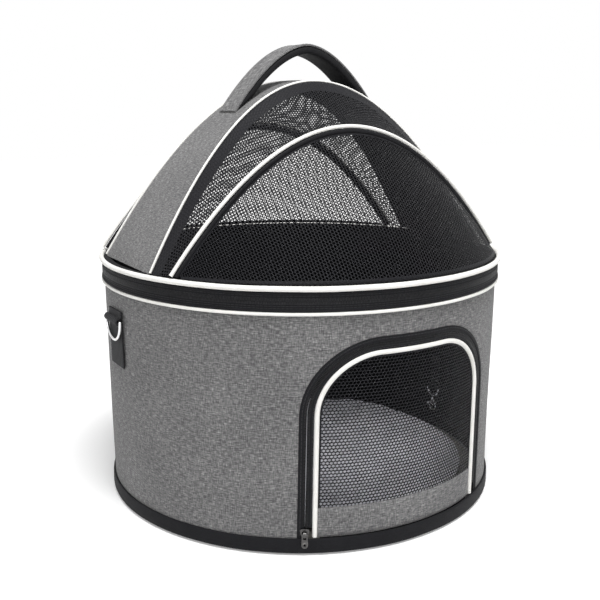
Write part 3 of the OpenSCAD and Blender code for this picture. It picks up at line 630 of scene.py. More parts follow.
webbing = belt_webbing()
ring_wire_r, bend_r = 1.6 * mm, 3.0 * mm
for side, name in ((-1, "left"), (1, "right")):
    low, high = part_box("webbing_" + name)
    ring_low, ring_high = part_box("d_ring_" + name)
    bar_z = ring_high.z - ring_wire_r
    bar_x = (ring_high.x if side > 0 else -ring_low.x) - ring_wire_r
    bar_x = max(bar_x, wall_r(bar_z) + 4 * mm)
    width = (high.y - low.y) - 0.4 * mm

    def flat_at(z, proud=1.5 * mm):
        return Vector((side * (wall_r(z) + proud), 0, z))

    path = [flat_at(low.z + up, 1.3 * mm) for up in (0, 8 * mm, 20 * mm)]
    path += [flat_at(bar_z - 11 * mm), flat_at(bar_z - 6 * mm)]
    for a in range(-120, 121, 30):
        c, s = bend_r * math.cos(math.radians(a)), bend_r * math.sin(math.radians(a))
        path.append(Vector((side * (bar_x + c), 0, bar_z + s)))
    path += [flat_at(bar_z + 5.5 * mm), flat_at(high.z)]
    bm = swept(path, faces_across(path, Vector((0, side, 0))), (width, 2.1 * mm), 16, 0.3)
    piece("side_webbing_" + name, bm, webbing, "tub", ["webbing_" + name])


# ---- Tether ----------------------------------------------------------------------
# A strap sewn to the lining carries a small plated clip for the pet's collar.

low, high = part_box("tether_strap")
tether_turn, fold_r, fold_in, sewn_in = math.radians(2), 2.4 * mm, 9.8 * mm, 7.2 * mm
way = Vector((math.cos(tether_turn), math.sin(tether_turn), 0))
fold_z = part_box("tether_clip")[1].z - 1.5 * mm
fold_at = way * (wall_r(fold_z) - fold_in) + Vector((0, 0, fold_z))
path = [way * (wall_r(high.z) - sewn_in) + Vector((0, 0, high.z))]
path.append(way * (wall_r(fold_z) - sewn_in + 0.3 * mm) + Vector((0, 0, fold_z + 10 * mm)))
out = [-way, -way]
for a in range(60, 301, 30):
    out.append(way * math.cos(math.radians(a)) + Vector((0, 0, math.sin(math.radians(a)))))
    path.append(fold_at + fold_r * out[-1])
bm = swept(path, out, (15.6 * mm, 1.4 * mm), 12, 0.35)
piece("tether_webbing", bm, webbing, "tub", ["tether_strap"])
dress(["tether_clip", "tether_gate"], chrome)


# ---- Cushion ---------------------------------------------------------------------
# A loose round mat of short grey plush over polyester wadding, with a corded seam
# round its upper edge.  It fills the floor and can be lifted out to be washed.


def grey_plush():
    """Short pile: soft tufts, and paler and darker where it has been stroked."""
    pile = Finish("grey_plush", "plush", 0.15, sheen=0.35, spread=0.45)
    at = pile.place()
    tuft = pile.grain(at, 520, 3.0, 0.65)
    lock = pile.grain(at, 110, shift=(5, 2, 1))
    stroke = pile.grain(at, 16, 3.0)
    tone = tuft * 0.35 + lock * 0.3 + stroke * 0.35
    colour = pile.ramp(
        tone,
        (0.32, (0.540, 0.535, 0.585)),
        (0.50, (0.780, 0.775, 0.830)),
        (0.68, (0.920, 0.915, 0.955)),
    )
    normal = pile.bump(tuft, 1.2 * mm, 0.7, pile.bump(lock, 2.2 * mm, 0.5))
    return pile.show(colour=colour, roughness=tone * -0.2 + 1.0, normal=normal)


plush = grey_plush()


def puffed(bm, name, voxel, pressure, cap):
    """Swells a closed form as cloth under pressure; no point moves further than cap."""
    scene = bpy.context.scene

    def shaped(held):
        view = bpy.context.evaluated_depsgraph_get()
        return bpy.data.meshes.new_from_object(held.evaluated_get(view), depsgraph=view)

    mesh = bpy.data.meshes.new(name + "_form")
    bm.to_mesh(mesh)
    bm.free()
    form = bpy.data.objects.new(name + "_form", mesh)
    scene.collection.objects.link(form)
    remesh = form.modifiers.new("remesh", "REMESH")
    remesh.mode = "VOXEL"
    remesh.voxel_size = voxel
    even = shaped(form)
    bpy.data.objects.remove(form)
    bm = bmesh.new()
    bm.from_mesh(even)
    cloth_body = bpy.data.objects.new(name + "_sim", even)
    scene.collection.objects.link(cloth_body)
    cloth = cloth_body.modifiers.new("cloth", "CLOTH")
    cloth.settings.use_pressure = True
    cloth.settings.uniform_pressure_force = pressure
    cloth.settings.effector_weights.gravity = 0
    cloth.point_cache.frame_start, cloth.point_cache.frame_end = 1, 20
    for step in range(1, 21):
        scene.frame_set(step)
    swollen = shaped(cloth_body)
    for v, w in zip(bm.verts, swollen.vertices):
        move = w.co - v.co
        if move.length > cap:
            move *= cap / move.length
        v.co += move
    bpy.data.objects.remove(cloth_body)
    scene.frame_set(1)
    return bm


pad_low, pad_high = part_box("cushion_pad")
pad_r, pad_t = pad_high.x, pad_high.z - pad_low.z
middle = (pad_low.z + pad_high.z) / 2
unfilled = {"radius1": pad_r - 6 * mm, "radius2": pad_r - 6 * mm, "depth": pad_t * 0.7}
bm = bmesh.new()
matrix = Matrix.Translation((0, 0, middle))
bmesh.ops.create_cone(bm, cap_ends=True, segments=96, **unfilled, matrix=matrix)
corners = [e for e in bm.edges if e.calc_length() > 8 * mm and e.verts[0].co.z == e.verts[1].co.z]
bmesh.ops.bevel(bm, geom=corners, offset=3 * mm, segments=2, affect="EDGES", profile=0.5, material=-1)
bm = puffed(bm, "cushion", 5 * mm, 4.0, 7 * mm)
for v in bm.verts:
    r, a = math.hypot(v.co.x, v.co.y), math.atan2(v.co.y, v.co.x)
    edge = max(0, min(1, (r - 0.75 * pad_r) / (0.25 * pad_r)))
    back = max(0, math.sin(a) - 0.35 * math.cos(a))
    wave = ripple(math.cos(a) * 2.6, math.sin(a) * 2.6, 4)
    lumps = noise.noise(v.co * 11 + Vector((0, 0, 7))) + 0.4 * noise.noise(v.co * 27)
    if v.co.z > middle:
        v.co.z += 4.2 * mm * lumps + 2.5 * mm * wave * edge - 5 * mm * edge * back
    v.co.z = max(pad_low.z + 0.1 * mm, min(pad_high.z + 6 * mm, v.co.z))
    v.co.xy *= 1 + edge * (0.014 * wave - 0.05 * back)
axes = {"use_axis_x": True, "use_axis_y": True, "use_axis_z": True}
for _ in range(3):
    bmesh.ops.smooth_vert(bm, verts=bm.verts, factor=0.5, **axes)

skin = BVHTree.FromBMesh(bm)
path, out = round_path(pad_r + 30 * mm, middle + 0.2 * pad_t, count=150)
inward = [(Vector((0, 0, middle)) - p).normalized() for p in path]
seam_line = [skin.ray_cast(p, i)[0] for p, i in zip(path, inward)]
cushion = piece("cushion", bm, plush, "tub", ["cushion_pad"], 180)
soften = cushion.modifiers.new("soften", "SUBSURF")
soften.levels = soften.render_levels = 1
bm = swept(seam_line, [-i for i in inward], 3.2 * mm, 8, closed=True)
piece("cushion_cord", bm, plush, "tub")


# ---- Rim of the tub --------------------------------------------------------------
# The wall's upper edge is hemmed round a steel wire and trimmed with thin off-white
# piping; above it stand the zip's ribbed tape, sewn with two rows of black thread, and
# the lower row of nylon turns.


def piping_cloth():
    """Off-white cover cloth on a cord: a close weave, slightly soiled here and there."""
    cover = Finish("piping_cloth", "piping", 0.35, sheen=0.08)
    at = cover.cloth_map()
    weave = cover.grain(at, (1500, 1900, 1))
    twill = cover.ribs(cover.part(at, 0) + cover.part(at, 1), 1.2 * mm) * 0.5 + 0.5
    soil = cover.grain(at, (30, 60, 1), 4.0, 0.6)
    tone = weave * 0.3 + twill * 0.2 + soil * 0.5
    soiled, usual, clean = (0.62, 0.61, 0.57), (0.80, 0.79, 0.76), (0.88, 0.87, 0.85)
    colour = cover.ramp(tone, (0.28, soiled), (0.5, usual), (0.7, clean))
    normal = cover.bump(weave * 0.5 + twill * 0.5, 0.18 * mm, 0.6)
    return cover.show(colour=colour, roughness=soil * 0.2 + 0.5, normal=normal)


def sewing_thread():
    """Twisted black polyester thread."""
    thread = Finish("sewing_thread", "black_tape", 0.2)
    at = thread.place()
    tone = thread.grain(at, 1800, 1.0)
    colour = thread.ramp(tone, (0.35, (0.009, 0.009, 0.010)), (0.7, (0.045, 0.045, 0.048)))
    return thread.show(colour=colour, roughness=tone * 0.3 + 0.4)


piping_white = piping_cloth()
thread_black = sewing_thread()


def stitches(rows, length=3.0 * mm, gap=1.0 * mm, thick=0.55 * mm):
    """Lockstitch: short rounded lengths of thread along each row, given as path and out."""
    sizes = (thick / 2, thick / 2.4, length)
    pitch = length + gap
    marks = [mark for path, out in rows for mark in spaced(path, out, gap + length / 2, pitch)]
    return rods(((at, (face.cross(along), face, along), sizes) for at, face, along in marks), 5)


def hem_ring(name, node, body):
    """Lining cloth folded round the rim's wire."""
    low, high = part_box(node)
    path, out = round_path(high.x - 3.5 * mm, (low.z + high.z) / 2, count=160)
    wander(path, 0.25 * mm, 0.3, 1, 5)
    bm = swept(path, out, (5.9 * mm, 6.9 * mm), 14, 0.55, closed=True)
    piece(name, bm, lining, body, [node])


hem_ring("tub_hem", "tub_rim_hem", "tub")

low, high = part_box("tub_rim_piping")
tub_piping_r = (high.z - low.z) / 2
track = round_path(high.x - tub_piping_r, (low.z + high.z) / 2, count=200)
bm = swept(*track, 2 * tub_piping_r, closed=True)
piece("tub_piping", bm, piping_white, "tub", ["tub_rim_piping"])


def zip_row(name, body, shift, rise):
    """One half of the rim's zip: tape with a sewn fold, its stitches and its turns.
    The tape is carried on toward the parting, behind the turns."""
    low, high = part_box(name + "_tape")
    tape_r, wide, behind = high.x - 0.8 * mm, high.z - low.z, 2.9 * mm
    hem = low.z if rise > 0 else high.z
    track = round_path(tape_r, (low.z + high.z + rise * behind) / 2, count=200)
    bm = swept(*track, (wide + behind, 1.5 * mm), 14, 0.3, closed=True)
    piece(name + "_tape", bm, grosgrain, body, [name + "_tape"])
    track = round_path(tape_r + 0.5 * mm, hem + rise * 1.5 * mm, count=200)
    bm = swept(*track, (2.6 * mm, 2.4 * mm), 10, 0.7, closed=True)
    piece(name + "_fold", bm, grosgrain, body)
    rows = [round_path(tape_r + 0.95 * mm, hem + rise * away, count=240) for away in (3.6 * mm, 5.7 * mm)]
    piece(name + "_stitches", stitches(rows), thread_black, body)
    low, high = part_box(name + "_coil")
    track = round_path(high.x - 1.6 * mm, (low.z + high.z) / 2 + rise * 0.15 * mm, count=240)
    bm = coil(*track, high.z - low.z + 0.7 * mm, shift)
    piece(name + "_coil", bm, coil_black, body, [name + "_coil"])


zip_row("tub_zip", "tub", 0.25, 1)
dress(["rim_slider_left", "rim_slider_right", "rim_pull_left", "rim_pull_right"], black_nickel)


# ---- Rim of the dome -------------------------------------------------------------
# The same make as the tub's rim, upside down, with a thicker piping that stands proud
# of everything else.

hem_ring("dome_hem", "dome_rim_hem", "dome")
low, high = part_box("dome_rim_piping")
rim_piping = (high.z - low.z) / 2
path, out = round_path(high.x - rim_piping, (low.z + high.z) / 2, count=200)
wander(path, 0.3 * mm, 0.13, 3, 1)
bm = swept(path, out, 1.8 * rim_piping, 14, closed=True)
piece("dome_piping", bm, piping_white, "dome", ["dome_rim_piping"])
zip_row("dome_zip", "dome", 0.75, -1)


# ---- Cloth hinge of the dome -----------------------------------------------------
# Above the door the two halves of the rim are joined inside by a strip of lining cloth,
# so that the dome stays on when the zip is open.


def laid_cloth(count_s, count_t, place, cloth, marks=()):
    """A grid laid on a surface and mapped as flat cloth, facing out of the pod.  Each
    function takes s from -1 to 1 across and t from 0 to 1 up; marks are named values."""
    bm = bmesh.new()
    bmesh.ops.create_grid(bm, x_segments=count_s, y_segments=count_t, size=0.5)
    layers = [(bm.verts.layers.float.new(name), value) for name, value in marks]
    maps = {}
    for v in bm.verts:
        s, t = 2 * v.co.x, v.co.y + 0.5
        for layer, value in layers:
            v[layer] = value(s, t)
        maps[v] = cloth(s, t)
        v.co = place(s, t)
    map_cloth(bm, lambda v, f: maps[v])
    look_out(bm)
    return bm


hinge_low, hinge_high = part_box("tub_zip_tape")[0].z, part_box("dome_zip_tape")[1].z
hinge_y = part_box("tub_zip_coil")[0].y
strip_r = -hinge_y - 4.3 * mm


def strip_place(s, t):
    a = math.radians(26) * s
    z = hinge_low + 1 * mm + (hinge_high - hinge_low - 2 * mm) * t
    return Vector((strip_r * math.sin(a), -strip_r * math.cos(a), z))


def strip_cloth(s, t):
    at = strip_place(s, t)
    return math.atan2(at.x, -at.y) * strip_r, at.z


bm = laid_cloth(40, 14, strip_place, strip_cloth)
thicken(bm, 0.5 * mm)
strip = piece("hinge_strip", bm, lining, None)
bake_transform(strip)


# ---- Zip round the door, tub side -------------------------------------------------
# Black tape sewn over the cut edge of the wall, and the outer row of nylon turns.  The
# slider waits at the foot of the left side.


def on_wall(x, z, inset):
    """A place on the wall, as cut by a line from the front, and the way out there."""
    r = wall_r(z) - inset
    y = -math.sqrt(r * r - x * x)
    return Vector((x, y, z)), Vector((x, y, 0)) / r


def round_door(offset, foot, inset, steps=26):
    """A path up the left side of the door, over its top and down the right side."""
    places = [on_wall(x, z, inset) for x, z in arch(offset, foot, steps, 18, 12)]
    places.append(on_wall(door_half + offset, foot, inset))
    return [p for p, _ in places], [o for _, o in places]


track_inset = 1.9 * mm
frame_off, frame_turns_off = 13.1 * mm, 10.0 * mm
bm = swept(*round_door(frame_off, door_foot, track_inset - 0.5 * mm), (5.0 * mm, 3.0 * mm), 14, 0.5)
piece("door_frame_tape_strip", bm, grosgrain, "tub", ["door_frame_tape"])
bm = stitches([round_door(frame_off + 0.5 * mm, door_foot + 2 * mm, track_inset - 1.95 * mm)])
piece("door_frame_stitches", bm, thread_black, "tub")
bm = coil(*round_door(frame_turns_off, door_foot, track_inset), 2.9 * mm, 0.25)
piece("door_frame_turns", bm, coil_black, "tub", ["door_frame_coil"])


# ---- Door ------------------------------------------------------------------------
# A panel of black mesh with a padded heather sill at its foot, edged with off-white
# piping; tape and the inner row of turns are sewn on outside the piping.


def open_mesh():
    """Knitted mesh: rows of wide six-sided holes in black yarn, and a plain bound edge.
    Where the mesh is slack its holes are smaller."""
    knit = Finish("open_mesh", "mesh", 0.12, sheen=0.03)
    at = knit.cloth_map()
    pitch, row = 3.8 * mm, 3.15 * mm
    cell = (pitch, 2 * row, 1)

    def from_centre(shift):
        inside = knit.vector("MODULO", knit.vector("ADD", at, shift), cell)
        off = knit.vector("SUBTRACT", inside, (pitch / 2, row, 0))
        across, up = knit.part(off, 0).size(), knit.part(off, 1).size()
        return across.most((across * 0.5 + up * 0.86) * 1.22)

    start = Vector((800 * pitch, 1600 * row, 0))
    near = from_centre(start).least(from_centre(start + Vector((pitch / 2, row, 0))))
    marks = ({"attribute_name": name} for name in ("edge_gap", "slack"))
    gap, slack = (knit.node("ShaderNodeAttribute", mark, {}, "Fac") for mark in marks)
    bound = knit.fade(gap, 4.6 * mm, 5.0 * mm, 1.0, 0.0)
    yarn = knit.fade(near + slack, 1.32 * mm, 1.88 * mm)
    fibre = knit.grain(at, (1900, 1900, 1))
    colour = knit.ramp(fibre, (0.3, (0.003, 0.003, 0.004)), (0.7, (0.016, 0.016, 0.019)))
    height = knit.fade(near, 1.35 * mm, 2.0 * mm) + fibre * 0.2
    normal = knit.bump(height, 0.4 * mm, 0.8)
    return knit.show(
        colour=colour, roughness=fibre * 0.3 + 0.42, alpha=yarn.most(bound), normal=normal
    )


black_mesh = open_mesh()


def panel(name, counts, place, cloth, gap, body, node, slackness=0.0):
    """One layer of mesh, laid on its surface and bound at its edge."""
    flat_places = []

    def noted(s, t):
        flat_places.append(cloth(s, t))
        return flat_places[-1]

    marks = (("edge_gap", gap), ("slack", lambda s, t: slackness))
    bm = laid_cloth(*counts, place, noted, marks)
    area = sum(f.calc_area() for f in bm.faces)
    thicken(bm, 0.5 * mm)
    flat = tuple(max(way) - min(way) for way in zip(*flat_places))
    made = piece(name, bm, black_mesh, body, [node], 180)


sill_low, sill_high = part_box("door_sill")
mesh_foot = sill_high.z - 7 * mm
mesh_top = door_top - 1.0 * mm
mesh_half = door_half - 1.0 * mm


def door_row(t):
    z = mesh_foot + (mesh_top - mesh_foot) * math.sin(t * math.pi / 2)
    rise = max(0.0, z - (mesh_top - door_corner))
    return z, mesh_half - door_corner + math.sqrt(max(0.0, door_corner**2 - rise * rise))


def door_place(s, t):
    z, half = door_row(t)
    x = s * half
    soft = ripple(x * 14, z * 14, 3) * (1 - s * s) * (1 - t)
    return on_wall(x, z, track_inset + 0.4 * mm + 1.6 * mm * abs(soft))[0]


def door_cloth(s, t):
    z, half = door_row(t)
    return 0.3 + mean_r * math.asin(s * half / mean_r), z


def door_gap(s, t):
    z, half = door_row(t)
    x = abs(s * half)
    dx, dz = x - mesh_half + door_corner, z - mesh_top + door_corner
    corner = door_corner - math.hypot(dx, dz) if dx > 0 and dz > 0 else 1.0
    return min(mesh_half - x, mesh_top - z, corner) + 1.6 * mm


panel("door_mesh_panel", (64, 48), door_place, door_cloth, door_gap, "door", "door_mesh")

sill_half = sill_high.x


def sill_at(s, t):
    return s * sill_half, sill_low.z + t * (sill_high.z - sill_low.z)


def sill_place(s, t):
    x, z = sill_at(s, t)
    near = min(sill_half - abs(x), z - sill_low.z, sill_high.z - z)
    puff = 1.4 * mm * settled(near, 4 * mm)
    crease = 0.7 * mm * ripple(x * 22, z * 60, 9)
    return on_wall(x, z, track_inset - puff - crease * min(1, near / (5 * mm)))[0]


def sill_cloth(s, t):
    x, z = sill_at(s, t)
    return 5 + mean_r * math.asin(x / mean_r), z


bm = laid_cloth(56, 16, sill_place, sill_cloth)
thicken(bm, 2.6 * mm)
piece("door_sill_pad", bm, heather, "door", ["door_sill"])

bm = swept(*round_door(0.0, piping_low.z + 0.4 * mm, track_inset), 2 * door_piping_r)
piece("door_piping_cord", bm, piping_white, "door", ["door_piping"])
door_zip_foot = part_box("door_edge_tape")[0].z
edge_off, edge_turns_off = 4.3 * mm, 6.9 * mm
bm = swept(*round_door(edge_off, door_zip_foot, track_inset), (3.9 * mm, 2.2 * mm), 12, 0.45)
piece("door_edge_strip", bm, grosgrain, "door", ["door_edge_tape"])
bm = stitches([round_door(edge_off - 0.1 * mm, door_zip_foot + 1 * mm, track_inset - 1.15 * mm)])
piece("door_edge_stitches", bm, thread_black, "door")
bm = coil(*round_door(edge_turns_off, door_zip_foot, track_inset), 2.9 * mm, 0.75)
piece("door_edge_turns", bm, coil_black, "door", ["door_edge_coil"])
dress(["door_slider", "door_pull"], black_nickel)


# ---- Cloth hinge of the door -----------------------------------------------------
# A strip of lining cloth joins the back of the sill to the binding, and is what the
# door folds down on.  It faces inwards, so its thickness is gained on the outside.

fold_z = sill_low.z


def flap_at(s, t):
    return s * (sill_half - 3 * mm), fold_z + ((t - 0.5) * 17 + 1.0) * mm


def flap_place(s, t):
    return on_wall(*flap_at(s, t), track_inset + 2.3 * mm)[0]


bm = laid_cloth(40, 12, flap_place, flap_at)
bmesh.ops.reverse_faces(bm, faces=bm.faces)
thicken(bm, 0.5 * mm)
flap = piece("door_fold_strip", bm, lining, None)
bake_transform(flap)


# ---- Centre band -----------------------------------------------------------------
# A broad strap of heather cloth over foam runs over the top from side to side, wide at
# its feet and narrow at the top, lined with black nylon and piped along both edges.

band_low, band_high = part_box("centre_band")
dome_z0, rise = band_low.z, band_high.z - band_low.z
band_foot = band_high.x
band_foot_half = band_high.y + 2.2 * mm
band_top_half = 33 * mm
band_spread = math.hypot(1, band_foot / (2 * rise))


def band_half(u):
    return band_top_half + (band_foot_half - band_top_half) * abs(u) ** 1.6


def band_place(u, y, depth=0.0):
    x = (band_foot - band_spread * depth) * u
    return Vector((x, y, dome_z0 + (rise - depth) * (1 - u * u)))


def arch_out(half_span, height, u):
    """The way out of a parabolic arch at u."""
    return Vector((2 * height / half_span * u, 0, 1)).normalized()


def arch_length(half_span, height, u):
    """Length along a parabolic arch from its top to u."""
    k = 2 * height / half_span
    t = k * abs(u)
    run = half_span / k * 0.5 * (t * math.sqrt(1 + t * t) + math.asinh(t))
    return math.copysign(run, u)


def strap(name, depth, thick, sway, roll, finish, node):
    """A layer of the band, at a depth below its top; roll turns its long edges down."""

    def strap_at(s, t):
        u = math.sin(s * math.pi / 2)
        half = band_half(u) - 2.0 * mm
        return u, (2 * t - 1) * half, half

    def strap_place(s, t):
        u, y, half = strap_at(s, t)
        near = half - abs(y)
        fall = roll * math.exp(-near / (3 * mm))
        soft = 0.5 - ripple(u * 5, y * 16, 2)
        soft *= sway * settled(near, 9 * mm)
        return band_place(u, y, depth + fall) + arch_out(band_foot, rise, u) * soft

    def strap_cloth(s, t):
        u, y, half = strap_at(s, t)
        return 3 + y, arch_length(band_foot, rise, u)

    bm = laid_cloth(96, 22, strap_place, strap_cloth)
    thicken(bm, thick)
    piece(name, bm, finish, "dome", [node])


strap("band", 0.4 * mm, 2.6 * mm, 1.0 * mm, 1.0 * mm, heather, "centre_band")
strap("band_lining_cloth", 3.4 * mm, 0.7 * mm, -0.3 * mm, -0.2 * mm, lining, "band_lining")



def arch_steps(count):
    """Shares of a half span, from -1 to 1, closer together toward both ends."""
    return [math.sin(math.radians(-90 + 180 * i / count)) for i in range(count + 1)]


turns = arch_steps(110)
for side, name in ((-1, "front"), (1, "back")):
    edge = [side * (band_half(u) - 0.6 * mm) for u in turns]
    path = [band_place(u, y, 1.3 * mm) + Vector((0, 0, 1.2 * mm * u * u)) for u, y in zip(turns, edge)]
    out = [arch_out(band_foot, rise, u) for u in turns]
    bm = swept(path, out, 2.7 * mm)
    piece("band_piping_cord_" + name, bm, piping_white, "dome", ["band_piping_" + name])


# ---- Hoops -----------------------------------------------------------------------
# Two sprung steel wires in sleeves of black tape stand on the rim, in front and behind,
# and hold the mesh out.  A thick off-white piping is sewn along the top of each sleeve.

wires_high, wire_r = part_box("hoop_wires")[1], 1.7 * mm
hoop_y = wires_high.y - wire_r
rim_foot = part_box("dome_rim_hem")[1].x - 1 * mm
hoop_foot = math.sqrt(rim_foot**2 - hoop_y**2)
hoop_foot_z = dome_z0 + 1.86 * mm
hoop_rise = wires_high.z - wire_r - hoop_foot_z
hoop_spread = math.hypot(1, hoop_foot / (2 * hoop_rise)) + 0.06


def hoop_place(u, side, off=0.0):
    x = (hoop_foot + hoop_spread * off) * u
    return Vector((x, side * hoop_y, hoop_foot_z + (hoop_rise + off) * (1 - u * u)))


for side, name in ((-1, "front"), (1, "back")):
    path = [hoop_place(u, side) for u in turns]
    out = [arch_out(hoop_foot, hoop_rise, u) for u in turns]
    bm = swept(path, out, 5.4 * mm, square=0.9)
    piece("hoop_sleeve_tape_" + name, bm, grosgrain, "dome", ["hoop_sleeve_" + name])
    path = [hoop_place(0.994 * u, side, 5.2 * mm) for u in turns]
    bm = swept(path, out, 4.0 * mm)
    piece("hoop_piping_cord_" + name, bm, piping_white, "dome", ["hoop_piping_" + name])
    path = [hoop_place(0.99 * u, side, 1.9 * mm) + Vector((0, side * 2.2 * mm, 0)) for u in turns]
    faces = [(o * 0.6 + Vector((0, side, 0))).normalized() for o in out]
    piece("hoop_stitches_" + name, stitches([(path, faces)]), thread_black, "dome")


# ---- Mesh panels of the dome -----------------------------------------------------
# Four pieces of black knitted mesh: from the band down to each hoop, a little slack and
# faced with black tape along the band, and from each hoop down to the rim, pulled full.

facing = 9 * mm

for side, name in ((-1, "front"), (1, "back")):

    def low_ends(s):
        """Places on the rim and on the hoop, one above the other."""
        u = 0.985 * math.sin(s * math.pi / 2)
        high = hoop_place(u, side)
        y = side * math.sqrt(max(0, rim_foot**2 - high.x * high.x))
        return u, Vector((high.x, y, dome_z0 + 0.8 * mm)), high

    def low_place(s, t):
        u, low, high = low_ends(s)
        high += (low - high).normalized() * 2.6 * mm
        way = Vector((0, low.y + high.y, abs(low.y + high.y) * 0.6)).normalized()
        sway = 1.5 * mm * ripple(s * 3, t * 2, side * 5) * math.sin(math.pi * t)
        return low.lerp(high, t) + way * (5 * mm * (1 - u * u) * 4 * t * (1 - t) + sway)

    def low_cloth(s, t):
        u, low, high = low_ends(s)
        return (high - low).length * t, 2 + rim_foot * math.asin(low.x / rim_foot)

    def low_gap(s, t):
        u, low, high = low_ends(s)
        width = (high - low).length
        return min(width * t, width * (1 - t) + 2.2 * mm)

    def high_ends(s):
        """Places on the band's edge and on the hoop, at the same share of their arches."""
        u = math.sin(s * math.pi / 2)
        return u, band_place(u, side * band_half(u), 1.5 * mm), hoop_place(u, side)

    def high_place(s, t):
        u, a, b = high_ends(s)
        reach = (b - a).normalized()
        at = (a + reach * 0.8 * mm).lerp(b - reach * 2.4 * mm, t)
        held = 4 * t * (1 - t) * (1 - u**4)
        fold = math.sin(9 * u + 4 * t + 1.5 * ripple(u * 3, t * 2, side * 4))
        at -= arch_out(band_foot, rise, u) * (3.4 * mm + 1.8 * mm * abs(fold) ** 0.6) * held
        at.z = max(at.z, dome_z0 + 0.8 * mm)
        return at

    def high_cloth(s, t):
        u, a, b = high_ends(s)
        return (b - a).length * t, 4 + arch_length(hoop_foot, hoop_rise, u) * 1.1

    def high_gap(s, t):
        u, a, b = high_ends(s)
        width = (b - a).length
        return min(width * t - facing, width * (1 - t) + 2.2 * mm)

    node = "mesh_lower_" + name
    panel("mesh_low_" + name, (120, 36), low_place, low_cloth, low_gap, "dome", node)
    node = "mesh_upper_" + name
    panel("mesh_high_" + name, (120, 30), high_place, high_cloth, high_gap, "dome", node, 0.24 * mm)


# ---- Carry handle ----------------------------------------------------------------
# A padded grip of black nylon under a strip of the heather cloth, whose ends are sewn
# down on the band with two rows of stitches across.

cover_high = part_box("handle_cover")[1]
handle_x, handle_top = cover_high.x, cover_high.z
cover_t = 2.4 * mm
handle_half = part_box("handle_pad")[1].y


def band_z(x):
    return dome_z0 + rise * (1 - (x / band_foot) ** 2)


handle_end = band_z(handle_x) + 0.3 * mm + cover_t


def handle_z(x):
    return handle_top - (handle_top - handle_end) * (abs(x) / handle_x) ** 1.8


def grip_nylon():
    """Black nylon over soft foam, with creases where it has been gripped."""
    grip = Finish("grip_nylon", "black_tape", 0.12, sheen=0.03)
    at = grip.cloth_map()
    yarn = grip.grain(at, (1300, 1300, 1))
    crease = grip.grain(at, (40, 90, 1), 4.0, 0.6)
    tone = yarn * 0.5 + crease * 0.5
    colour = grip.ramp(tone, (0.3, (0.003, 0.003, 0.004)), (0.7, (0.014, 0.014, 0.015)))
    normal = grip.bump(crease, 1.2 * mm, 0.5, grip.bump(yarn, 0.15 * mm, 0.5))
    return grip.show(colour=colour, roughness=crease * 0.2 + 0.62, normal=normal)


def handle_run(half):
    return [half * u for u in arch_steps(72)]


path, heights = [], []
for x in handle_run(handle_x - 5 * mm):
    top = handle_z(x) - cover_t - 0.1 * mm
    under = handle_z(x) - cover_t - 0.2 * mm - 9 * mm * (1 + 0.35 * abs(x) / handle_x)
    low = min(max(under, band_z(x) + 0.5 * mm), top - 0.8 * mm)
    path.append(Vector((x, 0, (top + low) / 2)))
    heights.append(top - low)
out = faces_across(path, Vector((0, 1, 0)))
sizes = [(2 * handle_half, tall * o.z) for tall, o in zip(heights, out)]
bm = swept(path, out, sizes, 22, 0.42)
grip = piece("handle_grip", bm, grip_nylon(), "dome", ["handle_pad"], 70)

path = [Vector((x, 0, handle_z(x) - cover_t / 2)) for x in handle_run(handle_x)]
out = faces_across(path, Vector((0, 1, 0)))
bm = swept(path, out, (2 * handle_half - 0.6 * mm, cover_t), 22, 0.3)
piece("handle_strip", bm, heather, "dome", ["handle_cover"])


def handle_row(places):
    """Points on top of the handle's cover, at each x and y, with the ways out."""
    path, out = [], []
    for x, y in places:
        slope = (handle_z(x + 1 * mm) - handle_z(x - 1 * mm)) / (2 * mm)
        path.append(Vector((x, y, handle_z(x) + 0.05 * mm)))
        out.append(Vector((-slope, 0, 1)).normalized())
    return path, out


rows = []
for side in (-1, 1):
    for from_end in (4 * mm, 9 * mm):
        rows.append(handle_row([(side * (handle_x - from_end), y) for y in (-17 * mm, 0, 17 * mm)]))
for y in (-16.5 * mm, 16.5 * mm):
    rows.append(handle_row([(x, y) for x in handle_run(handle_x - 4 * mm)]))
piece("handle_stitches", stitches(rows, 3.4 * mm, 1.2 * mm), thread_black, "dome")


# ---- Studio ----------------------------------------------------------------------
# A pale floor in a white surround, a strong soft lamp overhead, weaker ones to the left,
# in front and to the right, and the camera a little above the rim, left of the door.


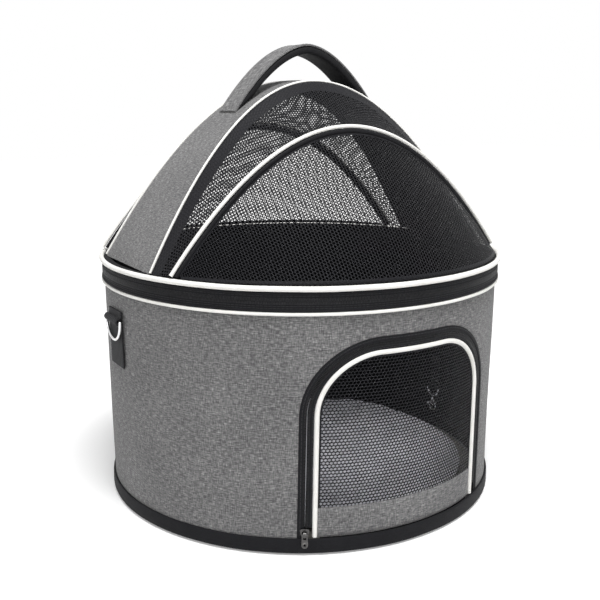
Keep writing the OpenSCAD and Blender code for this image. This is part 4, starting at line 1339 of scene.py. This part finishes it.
def seen_rays(paint):
    """1 where the camera, metal or the open mesh looks at it, 0 where it lights the pod."""
    kinds = ("Is Camera Ray", "Is Glossy Ray", "Is Transmission Ray")
    direct, mirrored, clear = (paint.node("ShaderNodeLightPath", {}, {}, kind) for kind in kinds)
    return direct.most(mirrored).most(clear)


def studio_white():
    """Matte white, lifted almost to plain white where it is seen; it keeps the shadow."""
    paint = Finish("studio_white", "", 0.0)
    away = paint.vector("LENGTH", paint.place(), out=1)
    lift = seen_rays(paint) * paint.fade(away, 0.3, 2.2, 0.20, 0.75)
    paint.shader.inputs["Emission Strength"].default_value = 1.0
    return paint.show(colour=(0.9, 0.9, 0.9, 1), roughness=1.0, glow=lift)


bm = bmesh.new()
bmesh.ops.create_grid(bm, x_segments=2, y_segments=2, size=6)
piece("studio_floor", bm, studio_white(), None)


class Surround(Finish):
    """The world's own nodes, worked with the same tools as a material's."""

    def __init__(self, name):
        made = bpy.data.worlds.new(name)
        made.use_nodes = True
        self.tree = made.node_tree
        self.light = self.tree.nodes["Background"]
        self.light.inputs["Color"].default_value = (1, 1, 1, 1)
        bpy.context.scene.world = made


surround = Surround("studio")
plain_level = 0.45
surround.feed(surround.light.inputs["Strength"], seen_rays(surround) * (1 - plain_level) + plain_level)



def aimed(name, data, at, target):
    """A lamp or a camera that stands in one place and looks at another."""
    held = bpy.data.objects.new(name, data)
    held.location = at
    held.rotation_mode = "QUATERNION"
    held.rotation_quaternion = (Vector(target) - held.location).to_track_quat("-Z", "Y")
    bpy.context.scene.collection.objects.link(held)
    return held


lamps = (
    ("key", (-1.6, -1.9, 2.0), 16, 1.6),
    ("front", (-0.5, -2.4, 0.9), 6, 1.0),
    ("fill", (1.9, -1.3, 1.2), 3, 1.8),
    ("top", (-0.2, -0.7, 2.2), 44, 0.8),
)
for name, at, power, size in lamps:
    lamp = bpy.data.lights.new(name, "AREA")
    lamp.energy, lamp.size = power, size
    aimed(name, lamp, at, (0, 0, 0.22))

lens = bpy.data.cameras.new("camera")
lens.lens, lens.shift_y = 53.74, -0.143
scene = bpy.context.scene
scene.camera = aimed("camera", lens, (-0.5245, -0.8922, 0.4331), (0, 0, 0.3044))
scene.view_settings.view_transform = "Standard"
